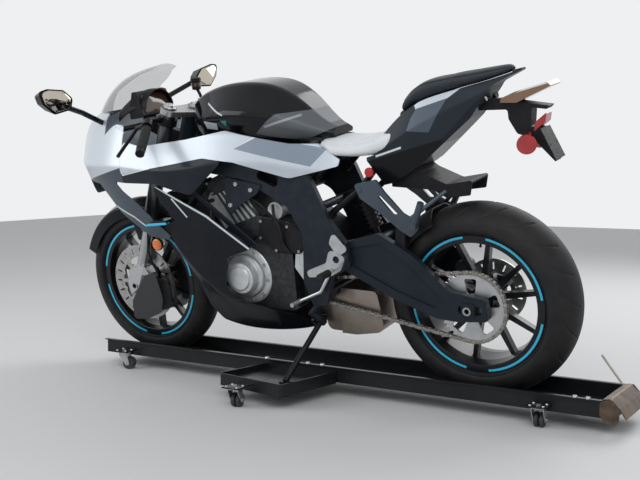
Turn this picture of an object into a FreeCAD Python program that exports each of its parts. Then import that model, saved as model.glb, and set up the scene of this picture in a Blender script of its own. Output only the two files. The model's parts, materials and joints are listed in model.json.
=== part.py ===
import FreeCAD, Part, Sketcher

import math
import os

from FreeCAD import Placement, Rotation, Vector

# A sport motorcycle leaning on its side stand, on a low wheeled dolly.
# Two frames are used. The bike's own frame is upright: X forward from the rear axle, Y left,
# Z up from the plane that both tyres touch. The dolly's frame is level, with the same origin.
# BIKE and DOLLY place them in the row's frame, whose floor is Z = 0.

# Driving sizes in millimetres and degrees: name, value.
SIZES = [
    # Stance
    ("wheelbase", 1400), ("lean_deg", 10), ("rake_deg", 21.5), ("trail", 88), ("steer_stop_deg", 27),
    ("origin_x", -609.84), ("origin_y", -187.9), ("ride_height", 60),
    ("rear_axle_z", 315), ("front_axle_z", 300),
    # Wheels: outer radius, half width, radius at the edge of the crown
    ("front_tyre_r", 303), ("front_tyre_half", 61), ("front_shoulder_r", 247),
    ("rear_tyre_r", 321), ("rear_tyre_half", 92), ("rear_shoulder_r", 250),
    ("bead_r", 216), ("rim_flange_r", 228), ("rim_inner_r", 203),
    ("front_rim_half", 49), ("rear_rim_half", 75), ("flange_thick", 4),
    ("front_hub_r", 34), ("front_hub_half", 52), ("rear_hub_r", 44), ("rear_hub_half", 62),
    ("spoke_pairs", 5), ("spoke_width", 15), ("spoke_depth", 26), ("spoke_spread_deg", 11),
    ("running_gap", 0.05), ("seat_gap", 0.3),
    ("front_axle_r", 12.5), ("front_axle_bore_r", 9), ("front_axle_half", 132),
    ("rear_axle_r", 14), ("rear_axle_bore_r", 8), ("rear_axle_half", 150),
    ("front_disc_r", 150), ("front_disc_inner_r", 104), ("front_disc_y", 69), ("disc_thick", 5),
    ("rear_disc_r", 110), ("rear_disc_inner_r", 62), ("rear_disc_y", 92),
    # Final drive
    ("chain_y", 104.5), ("chain_width", 15), ("chain_half_height", 8), ("chain_pitch", 15.875),
    ("sprocket_teeth", 45), ("drive_teeth", 15), ("sprocket_thick", 6),
    # Steering
    ("fork_y", 104), ("fork_outer_r", 27), ("fork_slider_r", 20.5), ("fork_top_z", 982),
    ("fork_split_z", 520), ("head_tube_r", 34), ("head_tube_inner_r", 24), ("stem_r", 23.95),
    ("upper_yoke_z", 960), ("lower_yoke_z", 745), ("yoke_thick", 34),
    # Swingarm and engine
    ("pivot_x", 446), ("pivot_z", 466), ("arm_in_y", 114), ("arm_out_y", 138),
    ("engine_half", 150), ("cover_r", 62), ("cover_out_y", 192),
    ("spar_in_y", 140), ("spar_out_y", 160),
    # Body panels
    ("panel_thick", 4), ("screen_thick", 4),
    # Side stand
    ("stand_pivot_x", 570), ("stand_pivot_y", 104), ("stand_pivot_z", 223), ("stand_leg_r", 10),
    ("stand_hub", 22), ("stand_bolt_r", 6),
    # Dolly
    ("channel_half", 116), ("channel_shift", 21), ("channel_sheet", 4),
    ("rail_top", 45), ("rail_lip", 14), ("channel_rear_x", -412), ("channel_join_x", 520),
    ("channel_front_x", 1587), ("tyre_gap", 0.3), ("steer_drop", 3), ("tray_rim_top", 28),
    ("tray_floor", 10),
    ("tray_skirt", -14), ("tray_sheet", 4),
    ("caster_r", 23.5), ("caster_tread", 13), ("caster_pair_gap", 5), ("caster_trail", 20),
    ("caster_axle_r", 4), ("caster_fork_sheet", 3), ("caster_plate_z", 8),
]


class Sizes:
    """The driving sizes, each also a named cell of the document's sheet."""

    def __init__(self, doc, rows):
        self.sheet = doc.addObject("Spreadsheet::Sheet", "sizes")
        for line, (name, value) in enumerate(rows, start=1):
            self.sheet.set("A%d" % line, name)
            self.sheet.set("B%d" % line, str(value))
            self.sheet.setAlias("B%d" % line, name)
            setattr(self, name, value)


doc = FreeCAD.newDocument("bike")
size = Sizes(doc, SIZES)
doc.recompute()

LEAN = Rotation(Vector(1, 0, 0), -size.lean_deg)
HOME = Vector(size.origin_x, size.origin_y, size.ride_height)
BIKE = Placement(HOME, LEAN)
DOLLY = Placement(HOME, Rotation())
pieces = []

RAKE = math.radians(size.rake_deg)
STEER_AXIS = Vector(-math.sin(RAKE), 0, math.cos(RAKE))
FRONT_AXLE = Vector(size.wheelbase, 0, size.front_axle_z)
REAR_AXLE = Vector(0, 0, size.rear_axle_z)


# Paths, outlines and simple solids

def rounded_edges(points, radii, closed):
    """Straight runs through the points, with a tangent arc of the given radius at each corner."""
    count = len(points)
    starts, ends, arcs = [], [], []
    for i, point in enumerate(points):
        radius = radii[i]
        if radius <= 0 or (not closed and i in (0, count - 1)):
            starts.append(point)
            ends.append(point)
            arcs.append(None)
            continue
        back = (points[i - 1] - point).normalize()
        ahead = (points[(i + 1) % count] - point).normalize()
        half = back.getAngle(ahead) / 2
        reach = radius / math.tan(half)
        middle = (back + ahead).normalize()
        first = point + back * reach
        last = point + ahead * reach
        apex = point + middle * (radius / math.sin(half) - radius)
        starts.append(first)
        ends.append(last)
        arcs.append(Part.Arc(first, apex, last).toShape())
    edges = []
    for i in range(count):
        if arcs[i]:
            edges.append(arcs[i])
        if i + 1 < count or closed:
            begin, finish = ends[i], starts[(i + 1) % count]
            if begin.distanceToPoint(finish) > 1e-6:
                edges.append(Part.LineSegment(begin, finish).toShape())
    return edges


def outline(rows, place):
    """A closed wire from rows of first coordinate, second coordinate, corner radius."""
    points = [place(row[0], row[1]) for row in rows]
    return Part.Wire(rounded_edges(points, [row[2] for row in rows], True))


def side_plate(rows, y_from, y_to):
    """A plate whose outline is drawn from the side (x, z, corner radius)."""
    wire = outline(rows, lambda x, z: Vector(x, y_from, z))
    return Part.Face(wire).extrude(Vector(0, y_to - y_from, 0))


def top_plate(rows, z_from, z_to):
    """A plate whose outline is drawn from above (x, y, corner radius)."""
    wire = outline(rows, lambda x, y: Vector(x, y, z_from))
    return Part.Face(wire).extrude(Vector(0, 0, z_to - z_from))


def end_plate(rows, x_from, x_to):
    """A plate whose outline is drawn from behind (y, z, corner radius)."""
    wire = outline(rows, lambda y, z: Vector(x_from, y, z))
    return Part.Face(wire).extrude(Vector(x_to - x_from, 0, 0))


def rod(start, end, radius):
    """A round bar between two points."""
    return Part.makeCylinder(radius, (end - start).Length, start, end - start)


def pipe(rows, radius):
    """A bent round tube along rows of x, y, z, bend radius."""
    points = [Vector(*row[:3]) for row in rows]
    path = Part.Wire(rounded_edges(points, [row[3] for row in rows], False))
    mouth = Part.Wire(Part.makeCircle(radius, points[0], points[1] - points[0]))
    return path.makePipeShell([mouth], True, True)


def spun(rows, centre):
    """A ring or disc about a line along Y, from rows of y, radius, corner radius."""
    wire = outline(rows, lambda y, r: Vector(centre.x, centre.y + y, centre.z + r))
    return Part.Face(wire).revolve(centre, Vector(0, 1, 0), 360)


def turned(shape, centre, degrees):
    """A copy turned about a line along Y."""
    copy = shape.copy()
    copy.rotate(centre, Vector(0, 1, 0), degrees)
    return copy


def mirrored(shape):
    """A copy on the other side of the bike's centre plane."""
    return shape.mirror(Vector(0, 0, 0), Vector(0, 1, 0))


def both_sides(shape):
    """A left piece and its mirror image as one compound."""
    return Part.makeCompound([shape, mirrored(shape)])


def joined(shapes):
    """One solid from pieces that run into each other."""
    return shapes[0].multiFuse(shapes[1:]).removeSplitter()


def bind_place(obj, leaning, spot):
    """Ties an object's place to the sheet: an origin, a height above the dolly's axes and the lean."""
    run, rise = spot
    obj.Placement = Placement(Vector(), Rotation(Vector(-1, 0, 0), 1))
    lean = "sizes.lean_deg * 1 deg" if leaning else "0 deg"
    obj.setExpression("Placement.Base.x", "sizes.origin_x + %s" % run)
    obj.setExpression("Placement.Base.y", "sizes.origin_y + (%s) * sin(%s)" % (rise, lean))
    obj.setExpression("Placement.Base.z", "sizes.ride_height + (%s) * cos(%s)" % (rise, lean))
    obj.setExpression("Placement.Rotation.Angle", lean)


def piece(label, shape, where):
    """Adds a finished sub-part to the document, its place tied to the sheet."""
    obj = doc.addObject("Part::Feature", label)
    obj.Label = label
    obj.Shape = shape if shape.Placement.isIdentity() else Part.makeCompound([shape])
    bind_place(obj, where is BIKE, ("0", "0"))
    pieces.append(obj)
    return obj


def line_along_y(label, half, radius):
    """A cylinder along Y whose half length and radius are entries of the sheet."""
    bar = doc.addObject("Part::Cylinder", label)
    bar.setExpression("Height", "2 * %s" % half)
    bar.setExpression("Radius", radius)
    bar.Placement = Placement(Vector(), Rotation(Vector(-1, 0, 0), 90))
    bar.setExpression("Placement.Base.y", "-1 * %s" % half)
    return bar


def axle(label, half, outer_r, inner_r, spot):
    """A hollow axle: one bound cylinder cut from another, at a wheel's centre."""
    tube = doc.addObject("Part::Cut", label)
    tube.Label = label
    tube.Base = line_along_y(label + "_bar", half, outer_r)
    tube.Tool = line_along_y(label + "_bore", half, inner_r)
    bind_place(tube, True, spot)
    pieces.append(tube)


def section_sketch(body, label, rows):
    """A closed sketch in the body's YZ plane whose corners are held by the sheet's entries."""
    sketch = body.newObject("Sketcher::SketchObject", label + "_section")
    plane = [part for part in body.Origin.OriginFeatures if part.Role == "YZ_Plane"][0]
    sketch.AttachmentSupport = (plane, [""])
    sketch.MapMode = "FlatFace"
    spots = [[float(sketch.evalExpression(entry)) for entry in row] for row in rows]
    count = len(rows)
    for i, spot in enumerate(spots):
        sketch.addGeometry(Part.LineSegment(Vector(*spot, 0), Vector(*spots[(i + 1) % count], 0)), False)
    for i in range(count):
        sketch.addConstraint(Sketcher.Constraint("Coincident", i, 2, (i + 1) % count, 1))
    for i, (row, spot) in enumerate(zip(rows, spots)):
        for kind, entry, value in zip(("DistanceX", "DistanceY"), row, spot):
            if value < 0:
                mark = sketch.addConstraint(Sketcher.Constraint(kind, i, 1, -1, 1, -value))
                sketch.setExpression("Constraints[%d]" % mark, "-1 * (%s)" % entry)
            else:
                mark = sketch.addConstraint(Sketcher.Constraint(kind, -1, 1, i, 1, value))
                sketch.setExpression("Constraints[%d]" % mark, entry)
    return sketch, spots


def spun_body(label, rows, spot):
    """A body turned about Y: a bound sketch of half the section, revolved."""
    body = doc.addObject("PartDesign::Body", label)
    body.Label = label
    sketch, corners = section_sketch(body, label, rows)
    spin = body.newObject("PartDesign::Revolution", label + "_turned")
    spin.Profile = sketch
    axis = [part for part in body.Origin.OriginFeatures if part.Role == "Y_Axis"][0]
    spin.ReferenceAxis = (axis, [""])
    spin.Angle = 360
    bind_place(body, True, spot)
    pieces.append(body)
    return corners


# Wheels

CROWN_STEPS = 5

def tyre_rows(end):
    """Half section of a tyre in entries of the sheet: bead, flange and an elliptical crown."""
    bead = "(sizes.%s_rim_half - sizes.flange_thick)" % end
    half = "sizes.%s_tyre_half" % end
    shoulder = "sizes.%s_shoulder_r" % end
    rise = "(sizes.%s_tyre_r - %s)" % (end, shoulder)
    crown = []
    for step in range(-CROWN_STEPS, CROWN_STEPS + 1):
        turn = "%.4f deg" % (90 * step / CROWN_STEPS)
        crown.append(("%s * sin(%s)" % (half, turn), "%s + %s * cos(%s)" % (shoulder, rise, turn)))
    foot = ["sizes.bead_r", "sizes.rim_flange_r"]
    left = [("-1 * " + bead, radius) for radius in foot]
    right = [(bead, radius) for radius in reversed(foot)]
    return left + crown + right


def rim(half, hub_r, hub_half, bore_r, centre, first_deg):
    """A cast rim: flanged barrel, hub with its bore, and pairs of spokes between them."""
    edge = half - size.flange_thick
    barrel = spun([(-half, size.rim_inner_r, 3), (-half, size.rim_flange_r, 1.5),
                   (-edge, size.rim_flange_r, 1.5), (-edge, size.bead_r, 0),
                   (edge, size.bead_r, 0), (edge, size.rim_flange_r, 1.5),
                   (half, size.rim_flange_r, 1.5), (half, size.rim_inner_r, 3),
                   (half * 0.5, size.rim_inner_r - 6, 10), (-half * 0.5, size.rim_inner_r - 6, 10)], centre)
    hub = spun([(-hub_half, bore_r, 0), (-hub_half, hub_r * 0.75, 3), (-hub_half * 0.6, hub_r, 6),
                (hub_half * 0.6, hub_r, 6), (hub_half, hub_r * 0.75, 3), (hub_half, bore_r, 0)], centre)
    depth = size.spoke_depth / 2
    root, tip = size.spoke_width * 0.75, size.spoke_width * 0.5
    shapes = [barrel, hub]
    for pair in range(size.spoke_pairs):
        for side in (-1, 1):
            start = centre.z + hub_r - 4
            end = centre.z + size.rim_inner_r - 1
            blade = side_plate([(centre.x - root, start, 0), (centre.x + root, start, 0),
                                (centre.x + tip, end, 0), (centre.x - tip, end, 0)],
                               centre.y - depth, centre.y + depth)
            lean = turned(blade, Vector(centre.x, 0, start), side * size.spoke_spread_deg * 0.6)
            angle = first_deg + 360 / size.spoke_pairs * pair + side * size.spoke_spread_deg
            shapes.append(turned(lean, centre, angle))
    return joined(shapes)


def drilled_disc(y, outer_r, inner_r, centre, holes):
    """A brake disc ring with a row of slots, carried by a spider that reaches the hub."""
    ring = Part.makeCylinder(outer_r, size.disc_thick, Vector(centre.x, y, centre.z), Vector(0, 1, 0))
    ring = ring.cut(Part.makeCylinder(inner_r, size.disc_thick, Vector(centre.x, y, centre.z), Vector(0, 1, 0)))
    middle = (outer_r + inner_r) / 2
    cuts = []
    for index in range(holes):
        slot = side_plate([(-3, middle - 12, 2.9), (3, middle - 12, 2.9), (3, middle + 12, 2.9),
                           (-3, middle + 12, 2.9)], y, y + size.disc_thick)
        slot.translate(Vector(centre.x, 0, centre.z))
        cuts.append(turned(slot, centre, 360 / holes * index))
    return ring.cut(cuts)


def spider(y, thick, outer_r, hub_r, centre, arms):
    """The star-shaped carrier between a hub and the ring it holds."""
    boss = Part.makeCylinder(hub_r + 8, thick, Vector(centre.x, y, centre.z), Vector(0, 1, 0))
    shapes = [boss]
    for index in range(arms):
        arm = side_plate([(-12, hub_r, 0), (12, hub_r, 0), (7, outer_r, 0), (-7, outer_r, 0)], y, y + thick)
        arm.translate(Vector(centre.x, 0, centre.z))
        shapes.append(turned(arm, centre, 360 / arms * index))
    bore = Part.makeCylinder(hub_r, thick, Vector(centre.x, y, centre.z), Vector(0, 1, 0))
    return joined(shapes).cut(bore)


def toothed_wheel(teeth, y, thick, bore_r, centre, windows):
    """A chain sprocket: one low tooth for each roller, and windows round the hub."""
    pitch_r = size.chain_pitch / (2 * math.sin(math.pi / teeth))
    root, tip = pitch_r - 5, pitch_r + 3.5
    points = []
    for tooth in range(teeth):
        for share, radius in ((-0.30, root), (-0.09, tip), (0.09, tip), (0.30, root)):
            angle = 2 * math.pi * (tooth + share) / teeth
            points.append(Vector(centre.x + radius * math.sin(angle), y, centre.z + radius * math.cos(angle)))
    wheel = Part.Face(Part.makePolygon(points + points[:1])).extrude(Vector(0, thick, 0))
    cuts = [Part.makeCylinder(bore_r, thick, Vector(centre.x, y, centre.z), Vector(0, 1, 0))]
    if windows:
        inner, outer = bore_r + 14, root - 14
        for index in range(windows):
            window = side_plate([(-13, inner, 4), (13, inner, 4), (22, outer, 8), (-22, outer, 8)], y, y + thick)
            window.translate(Vector(centre.x, 0, centre.z))
            cuts.append(turned(window, centre, 360 / windows * index))
    return wheel.cut(cuts)


front_bore = size.front_axle_r + size.running_gap
rear_bore = size.rear_axle_r + size.running_gap
FRONT_SPOT = ("sizes.wheelbase", "sizes.front_axle_z")
REAR_SPOT = ("0", "sizes.rear_axle_z")
front_corners = spun_body("front_tyre", tyre_rows("front"), FRONT_SPOT)
rear_corners = spun_body("rear_tyre", tyre_rows("rear"), REAR_SPOT)
piece("front_rim", rim(size.front_rim_half, size.front_hub_r, size.front_hub_half, front_bore,
                       FRONT_AXLE, 20), BIKE)
piece("rear_rim", rim(size.rear_rim_half, size.rear_hub_r, size.rear_hub_half, rear_bore,
                      REAR_AXLE, 8), BIKE)


def front_disc():
    """The left disc: its ring and the carrier that bolts it to the hub's end."""
    ring = drilled_disc(size.front_disc_y, size.front_disc_r, size.front_disc_inner_r, FRONT_AXLE, 20)
    inner = size.front_hub_half
    carrier = spider(inner, size.front_disc_y + size.disc_thick - inner, size.front_disc_inner_r + 2,
                     size.front_hub_r * 0.75 - 6, FRONT_AXLE, 8)
    trim = Part.makeCylinder(size.front_hub_r * 0.75 + 4, size.front_disc_y - inner,
                             Vector(FRONT_AXLE.x, inner, FRONT_AXLE.z), Vector(0, 1, 0))
    flat = Part.makeCylinder(size.front_disc_inner_r + 10, size.disc_thick,
                             Vector(FRONT_AXLE.x, size.front_disc_y, FRONT_AXLE.z), Vector(0, 1, 0))
    return joined([ring, carrier.common(joined([trim, flat]))])


piece("front_discs", both_sides(front_disc()), BIKE)

rear_disc_face = -size.rear_disc_y
rear_ring = drilled_disc(rear_disc_face, size.rear_disc_r, size.rear_disc_inner_r, REAR_AXLE, 14)
rear_carrier = spider(rear_disc_face, size.rear_disc_y - size.rear_hub_half, size.rear_disc_inner_r + 2,
                      size.rear_hub_r * 0.75 - 12, REAR_AXLE, 6)
piece("rear_disc", joined([rear_ring, rear_carrier]), BIKE)

sprocket_face = size.chain_y - size.sprocket_thick / 2
sprocket_ring = toothed_wheel(size.sprocket_teeth, sprocket_face, size.sprocket_thick, 30, REAR_AXLE, 5)
sprocket_hub = Part.makeCylinder(36, sprocket_face - size.rear_hub_half + size.sprocket_thick,
                                 REAR_AXLE + Vector(0, size.rear_hub_half, 0), Vector(0, 1, 0))
sprocket_bore = Part.makeCylinder(rear_bore, sprocket_face + size.sprocket_thick,
                                  REAR_AXLE, Vector(0, 1, 0))
piece("rear_sprocket", joined([sprocket_ring, sprocket_hub]).cut(sprocket_bore), BIKE)


# Axles

axle("front_axle", "sizes.front_axle_half", "sizes.front_axle_r", "sizes.front_axle_bore_r", FRONT_SPOT)
axle("rear_axle", "sizes.rear_axle_half", "sizes.rear_axle_r", "sizes.rear_axle_bore_r", REAR_SPOT)


# Steering

def on_fork(z, y=0.0):
    """The point of the fork's line, which passes through the front axle, at a height."""
    return Vector(FRONT_AXLE.x - (z - FRONT_AXLE.z) * math.tan(RAKE), y, z)


def on_stem(z):
    """The point of the steering axis at a height."""
    return Vector(size.wheelbase + size.trail - z * math.tan(RAKE), 0, z)


def fork_leg():
    """The left leg: outer tube above, slider below and the casting that holds the axle."""
    outer = rod(on_fork(size.fork_split_z, size.fork_y), on_fork(size.fork_top_z, size.fork_y),
                size.fork_outer_r)
    slider = rod(on_fork(FRONT_AXLE.z + 40, size.fork_y), on_fork(size.fork_split_z, size.fork_y),
                 size.fork_slider_r)
    foot = side_plate([(-34, -30, 14), (26, -34, 16), (36, 0, 14), (24, 60, 8), (-6, 84, 8),
                       (-60, 78, 10), (-88, 34, 10), (-84, -20, 10), (-62, -26, 8)],
                      size.fork_y - 20, size.fork_y + 22)
    foot.translate(FRONT_AXLE)
    guard = side_plate([(1343, 345, 10), (1290, 360, 10), (1267, 257, 20), (1282, 200, 20), (1353, 169, 20),
                        (1427, 163, 14), (1424, 237, 14), (1383, 294, 20)], size.fork_y + 20, size.fork_y + 24)
    leg = joined([outer, slider, foot, guard])
    seat = Part.makeCylinder(size.front_axle_r, 80, FRONT_AXLE + Vector(0, size.fork_y - 30, 0),
                             Vector(0, 1, 0))
    return leg.cut(seat)


def yoke(z, thick, reach):
    """A clamp plate across both fork tubes and the stem, square to the steering axis."""
    half = size.fork_y + size.fork_outer_r + 9
    ahead = 38
    plate = top_plate([(-reach, -34, 18), (ahead - 40, -half, 20), (ahead + 18, -half, 22),
                       (ahead - 4, -30, 20), (ahead - 4, 30, 20), (ahead + 18, half, 22),
                       (ahead - 40, half, 20), (-reach, 34, 18)], -thick / 2, thick / 2)
    plate.rotate(Vector(0, 0, 0), Vector(0, 1, 0), -size.rake_deg)
    plate.translate(on_stem(z))
    tubes = [rod(on_fork(z - 80, side * size.fork_y), on_fork(z + 80, side * size.fork_y),
                 size.fork_outer_r) for side in (1, -1)]
    return plate.cut(tubes)


left_leg = fork_leg()
piece("fork_legs", both_sides(left_leg), BIKE)
stem = rod(on_stem(size.lower_yoke_z), on_stem(size.upper_yoke_z), size.stem_r)
lower_yoke = yoke(size.lower_yoke_z, size.yoke_thick, 42)
upper_yoke = yoke(size.upper_yoke_z, size.yoke_thick * 0.55, 40)
piece("yokes", joined([lower_yoke, stem, upper_yoke]), BIKE)


CLAMP_Z = 934
BAR_ELBOW, BAR_END = Vector(1148, 205, 950), Vector(1076, 345, 866)
LEVER_PIVOT, LEVER_TIP = Vector(1213, 200, 921), Vector(1200, 330, 842)
GRIP_LENGTH = 122


def handlebar():
    """The left clip-on: a clamp ring round the fork tube, the bent bar, its weight and the lever."""
    centre = on_fork(CLAMP_Z, size.fork_y)
    ring = rod(centre - STEER_AXIS * 13, centre + STEER_AXIS * 13, size.fork_outer_r + 9)
    bar = pipe([(centre.x, 128, 940, 0), (*BAR_ELBOW, 30), (*BAR_END, 0)], 11)
    tube = rod(centre - STEER_AXIS * 30, centre + STEER_AXIS * 30, size.fork_outer_r)
    run = (BAR_END - BAR_ELBOW).normalize()
    weight = rod(BAR_END, BAR_END + run * 22, 16)
    perch = rod(BAR_ELBOW + run * 12, BAR_ELBOW + run * 38, 18)
    arm = rod(BAR_ELBOW + run * 24, LEVER_PIVOT, 9)
    lever = rod(LEVER_PIVOT, LEVER_TIP, 6.5)
    return joined([ring, bar, weight, perch, arm, lever]).cut(tube)


left_bar = handlebar()
piece("handlebars", both_sides(left_bar), BIKE)


def grip():
    """A rubber sleeve on the left bar."""
    run = (BAR_END - BAR_ELBOW).normalize()
    sleeve = rod(BAR_END - run * GRIP_LENGTH, BAR_END - run, 17)
    return sleeve.cut(left_bar)


piece("grips", both_sides(grip()), BIKE)


def front_mudguard():
    """A thin guard curved round the tyre, with side blades that reach the fork feet."""
    inner_r, outer_r = size.front_tyre_r + 14, size.front_tyre_r + 18
    half = size.front_tyre_half + 12
    shell = spun([(-half, outer_r - 60, 1.5), (-half + 6, outer_r - 12, 14), (0, outer_r + 12, 60),
                  (half - 6, outer_r - 12, 14), (half, outer_r - 60, 1.5), (half - 4, outer_r - 60, 1.5),
                  (half - 10, inner_r - 12, 12), (0, inner_r + 12, 58), (-half + 10, inner_r - 12, 12),
                  (-half + 4, outer_r - 60, 1.5)], FRONT_AXLE)
    sector = side_plate([(FRONT_AXLE.x, FRONT_AXLE.z, 0), (FRONT_AXLE.x + 330, FRONT_AXLE.z + 140, 0),
                         (FRONT_AXLE.x + 200, FRONT_AXLE.z + 400, 0),
                         (FRONT_AXLE.x - 240, FRONT_AXLE.z + 400, 0),
                         (FRONT_AXLE.x - 380, FRONT_AXLE.z + 170, 0)], -half - 5, half + 5)
    guard = shell.common(sector)
    blade = side_plate([(1316, 470, 6), (1400, 470, 6), (1420, 545, 10), (1300, 560, 10)],
                       half - 5, half - 1)
    core = Part.makeCylinder(inner_r - 2, 2 * half, FRONT_AXLE - Vector(0, half, 0), Vector(0, 1, 0))
    bridge = side_plate([(1330, 500, 6), (1372, 500, 6), (1366, 545, 6), (1324, 545, 6)],
                        half - 4, size.fork_y - size.fork_slider_r + 1)
    sliders = both_sides(rod(on_fork(350, size.fork_y), on_fork(700, size.fork_y), size.fork_outer_r))
    wings = both_sides(joined([blade, bridge]))
    return joined([guard, wings.Solids[0], wings.Solids[1]]).cut(sliders)


piece("front_mudguard", front_mudguard(), BIKE)


def caliper(y_side):
    """A radial caliper body that straddles a disc behind the fork foot."""
    block = side_plate([(1262, 208, 14), (1316, 196, 14), (1330, 262, 10), (1318, 320, 12),
                        (1274, 330, 14)], y_side - 24, y_side + 28)
    slot = side_plate([(1240, 190, 0), (1350, 190, 0), (1350, 345, 0), (1240, 345, 0)],
                      size.front_disc_y - 4, size.front_disc_y + size.disc_thick + 4)
    return block.cut([slot.common(Part.makeCylinder(size.front_disc_r + 5, 200,
                                                    FRONT_AXLE, Vector(0, 1, 0)))])


front_caliper = caliper(size.front_disc_y).cut(left_leg)
piece("front_calipers", both_sides(front_caliper), BIKE)


# Rear suspension and drive

def swingarm():
    """Two tapering arms joined by the pivot tube and a cross box, with an axle block each."""
    arm_rows = [(410, 408, 22), (466, 430, 30), (478, 500, 26), (420, 520, 30), (300, 552, 40),
                (185, 486, 40), (60, 372, 20), (-62, 352, 12), (-66, 282, 12), (40, 274, 20),
                (110, 280, 30), (262, 336, 60)]
    arm = side_plate(arm_rows, size.arm_in_y, size.arm_out_y)
    recess = side_plate([(392, 430, 14), (440, 462, 10), (404, 500, 14), (300, 520, 20), (200, 458, 20),
                         (92, 350, 10), (112, 312, 10), (250, 362, 40)], size.arm_out_y - 7, size.arm_out_y)
    slot = side_plate([(-46, 300, 13), (34, 300, 13), (34, 330, 13), (-46, 330, 13)],
                      size.arm_in_y, size.arm_out_y)
    left = arm.cut([recess, slot])
    block = side_plate([(-22, 292, 6), (22, 292, 6), (22, 338, 6), (-22, 338, 6)],
                       size.arm_in_y + 4, size.arm_out_y + 4)
    hole = Part.makeCylinder(size.rear_axle_r, 80, REAR_AXLE + Vector(0, size.arm_in_y - 20, 0),
                             Vector(0, 1, 0))
    left = joined([left, block]).cut(hole)
    tube = Part.makeCylinder(30, 2 * size.arm_in_y + 4,
                             Vector(size.pivot_x, -size.arm_in_y - 2, size.pivot_z), Vector(0, 1, 0))
    cross = side_plate([(352, 420, 12), (412, 430, 12), (404, 500, 16), (350, 512, 16)],
                       -size.arm_in_y - 2, size.arm_in_y + 2)
    bolt = Part.makeCylinder(12, 400, Vector(size.pivot_x, -200, size.pivot_z), Vector(0, 1, 0))
    return joined([left, mirrored(left), tube, cross]).cut(bolt)


arm_shape = swingarm()
piece("swingarm", arm_shape, BIKE)


def chain_loop():
    """The chain as one closed band: round both sprockets, with two straight runs."""
    rear_r = size.chain_pitch / (2 * math.sin(math.pi / size.sprocket_teeth))
    drive_r = size.chain_pitch / (2 * math.sin(math.pi / size.drive_teeth))
    drive = Vector(566, 0, 340)

    def band(extra):
        gap = drive - REAR_AXLE
        length = math.hypot(gap.x, gap.z)
        tilt = math.atan2(gap.z, gap.x)
        spread = math.acos((rear_r - drive_r) / length)
        edges = []
        points = []
        for centre, radius in ((REAR_AXLE, rear_r + extra), (drive, drive_r + extra)):
            for turn in (tilt + spread, tilt - spread):
                points.append(Vector(centre.x + radius * math.cos(turn), 0, centre.z + radius * math.sin(turn)))
        back = Vector(REAR_AXLE.x - (rear_r + extra) * math.cos(tilt), 0,
                      REAR_AXLE.z - (rear_r + extra) * math.sin(tilt))
        nose = Vector(drive.x + (drive_r + extra) * math.cos(tilt), 0,
                      drive.z + (drive_r + extra) * math.sin(tilt))
        edges.append(Part.Arc(points[1], back, points[0]).toShape())
        edges.append(Part.LineSegment(points[0], points[2]).toShape())
        edges.append(Part.Arc(points[2], nose, points[3]).toShape())
        edges.append(Part.LineSegment(points[3], points[1]).toShape())
        return Part.Face(Part.Wire(edges)).extrude(Vector(0, size.chain_width, 0))

    loop = band(size.chain_half_height).cut(band(-size.chain_half_height))
    loop.translate(Vector(0, size.chain_y - size.chain_width / 2, 0))
    half = size.sprocket_thick / 2 + 1
    teeth_room = Part.makeCylinder(rear_r + 4.5, 2 * half, REAR_AXLE + Vector(0, size.chain_y - half, 0),
                                   Vector(0, 1, 0))
    return loop.cut(teeth_room)


piece("chain", chain_loop(), BIKE)


# Engine and what hangs on it

PIVOT = Vector(size.pivot_x, 0, size.pivot_z)
LOW_TUBE = Vector(508, 0, 336)


def engine():
    """Crankcase and inclined cylinder block as one plain mass, stepped in where the chain starts."""
    case = side_plate([(560, 330, 20), (548, 520, 24), (640, 580, 24), (770, 600, 30), (905, 556, 30),
                       (962, 480, 30), (955, 340, 30), (890, 268, 30), (650, 262, 30)],
                      -size.engine_half + 12, size.engine_half - 12)
    chain_room = side_plate([(480, 280, 0), (640, 280, 0), (640, 540, 0), (480, 540, 0)],
                            size.chain_y - 16, size.engine_half)
    block = side_plate([(730, 560, 10), (905, 500, 10), (1000, 640, 14), (975, 704, 14), (842, 726, 14)],
                       -122, 122)
    head = side_plate([(818, 676, 10), (975, 616, 10), (1012, 676, 16), (984, 716, 12), (850, 742, 12)],
                      -132, 132)
    case = case.cut(chain_room)
    return joined([case, block, head])


engine_shape = engine()
piece("engine", engine_shape, BIKE)


def engine_covers():
    """The round alternator cover on the left and the larger clutch cover on the right."""
    centre = Vector(842, 0, 380)
    left_face = size.engine_half - 12
    alternator = spun([(left_face, 0, 0), (left_face, 76, 0), (left_face + 14, 76, 4), (left_face + 18, size.cover_r, 4),
                       (size.cover_out_y - 6, size.cover_r - 6, 5), (size.cover_out_y - 6, 44, 2),
                       (size.cover_out_y, 40, 2), (size.cover_out_y, 0, 0)], centre)
    clutch = spun([(-left_face, 0, 0), (-left_face, 98, 0), (-left_face - 16, 98, 5),
                   (-left_face - 40, 84, 10), (-left_face - 46, 0, 0)], Vector(700, 0, 400))
    drive_cover = side_plate([(500, 372, 24), (590, 360, 24), (634, 420, 14), (620, 500, 24), (530, 516, 24)],
                             size.chain_y + 12, size.spar_in_y - 1)
    starter = rod(Vector(700, 30, 616), Vector(700, 128, 616), 30).cut(engine_shape)
    return Part.makeCompound([alternator, clutch, drive_cover, starter])


piece("engine_covers", engine_covers(), BIKE)


def radiator():
    """A leaning core with end tanks, ahead of the engine."""
    tilt = -24
    core = Part.makeBox(26, 300, 250, Vector(-13, -150, -125))
    tanks = [Part.makeBox(34, 22, 262, Vector(-17, side * 161 - 11, -131)) for side in (1, -1)]
    shape = joined([core] + tanks)
    shape.rotate(Vector(0, 0, 0), Vector(0, 1, 0), -tilt)
    shape.translate(Vector(1088, 0, 560))
    return shape


radiator_shape = radiator()
piece("radiator", radiator_shape, BIKE)


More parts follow.
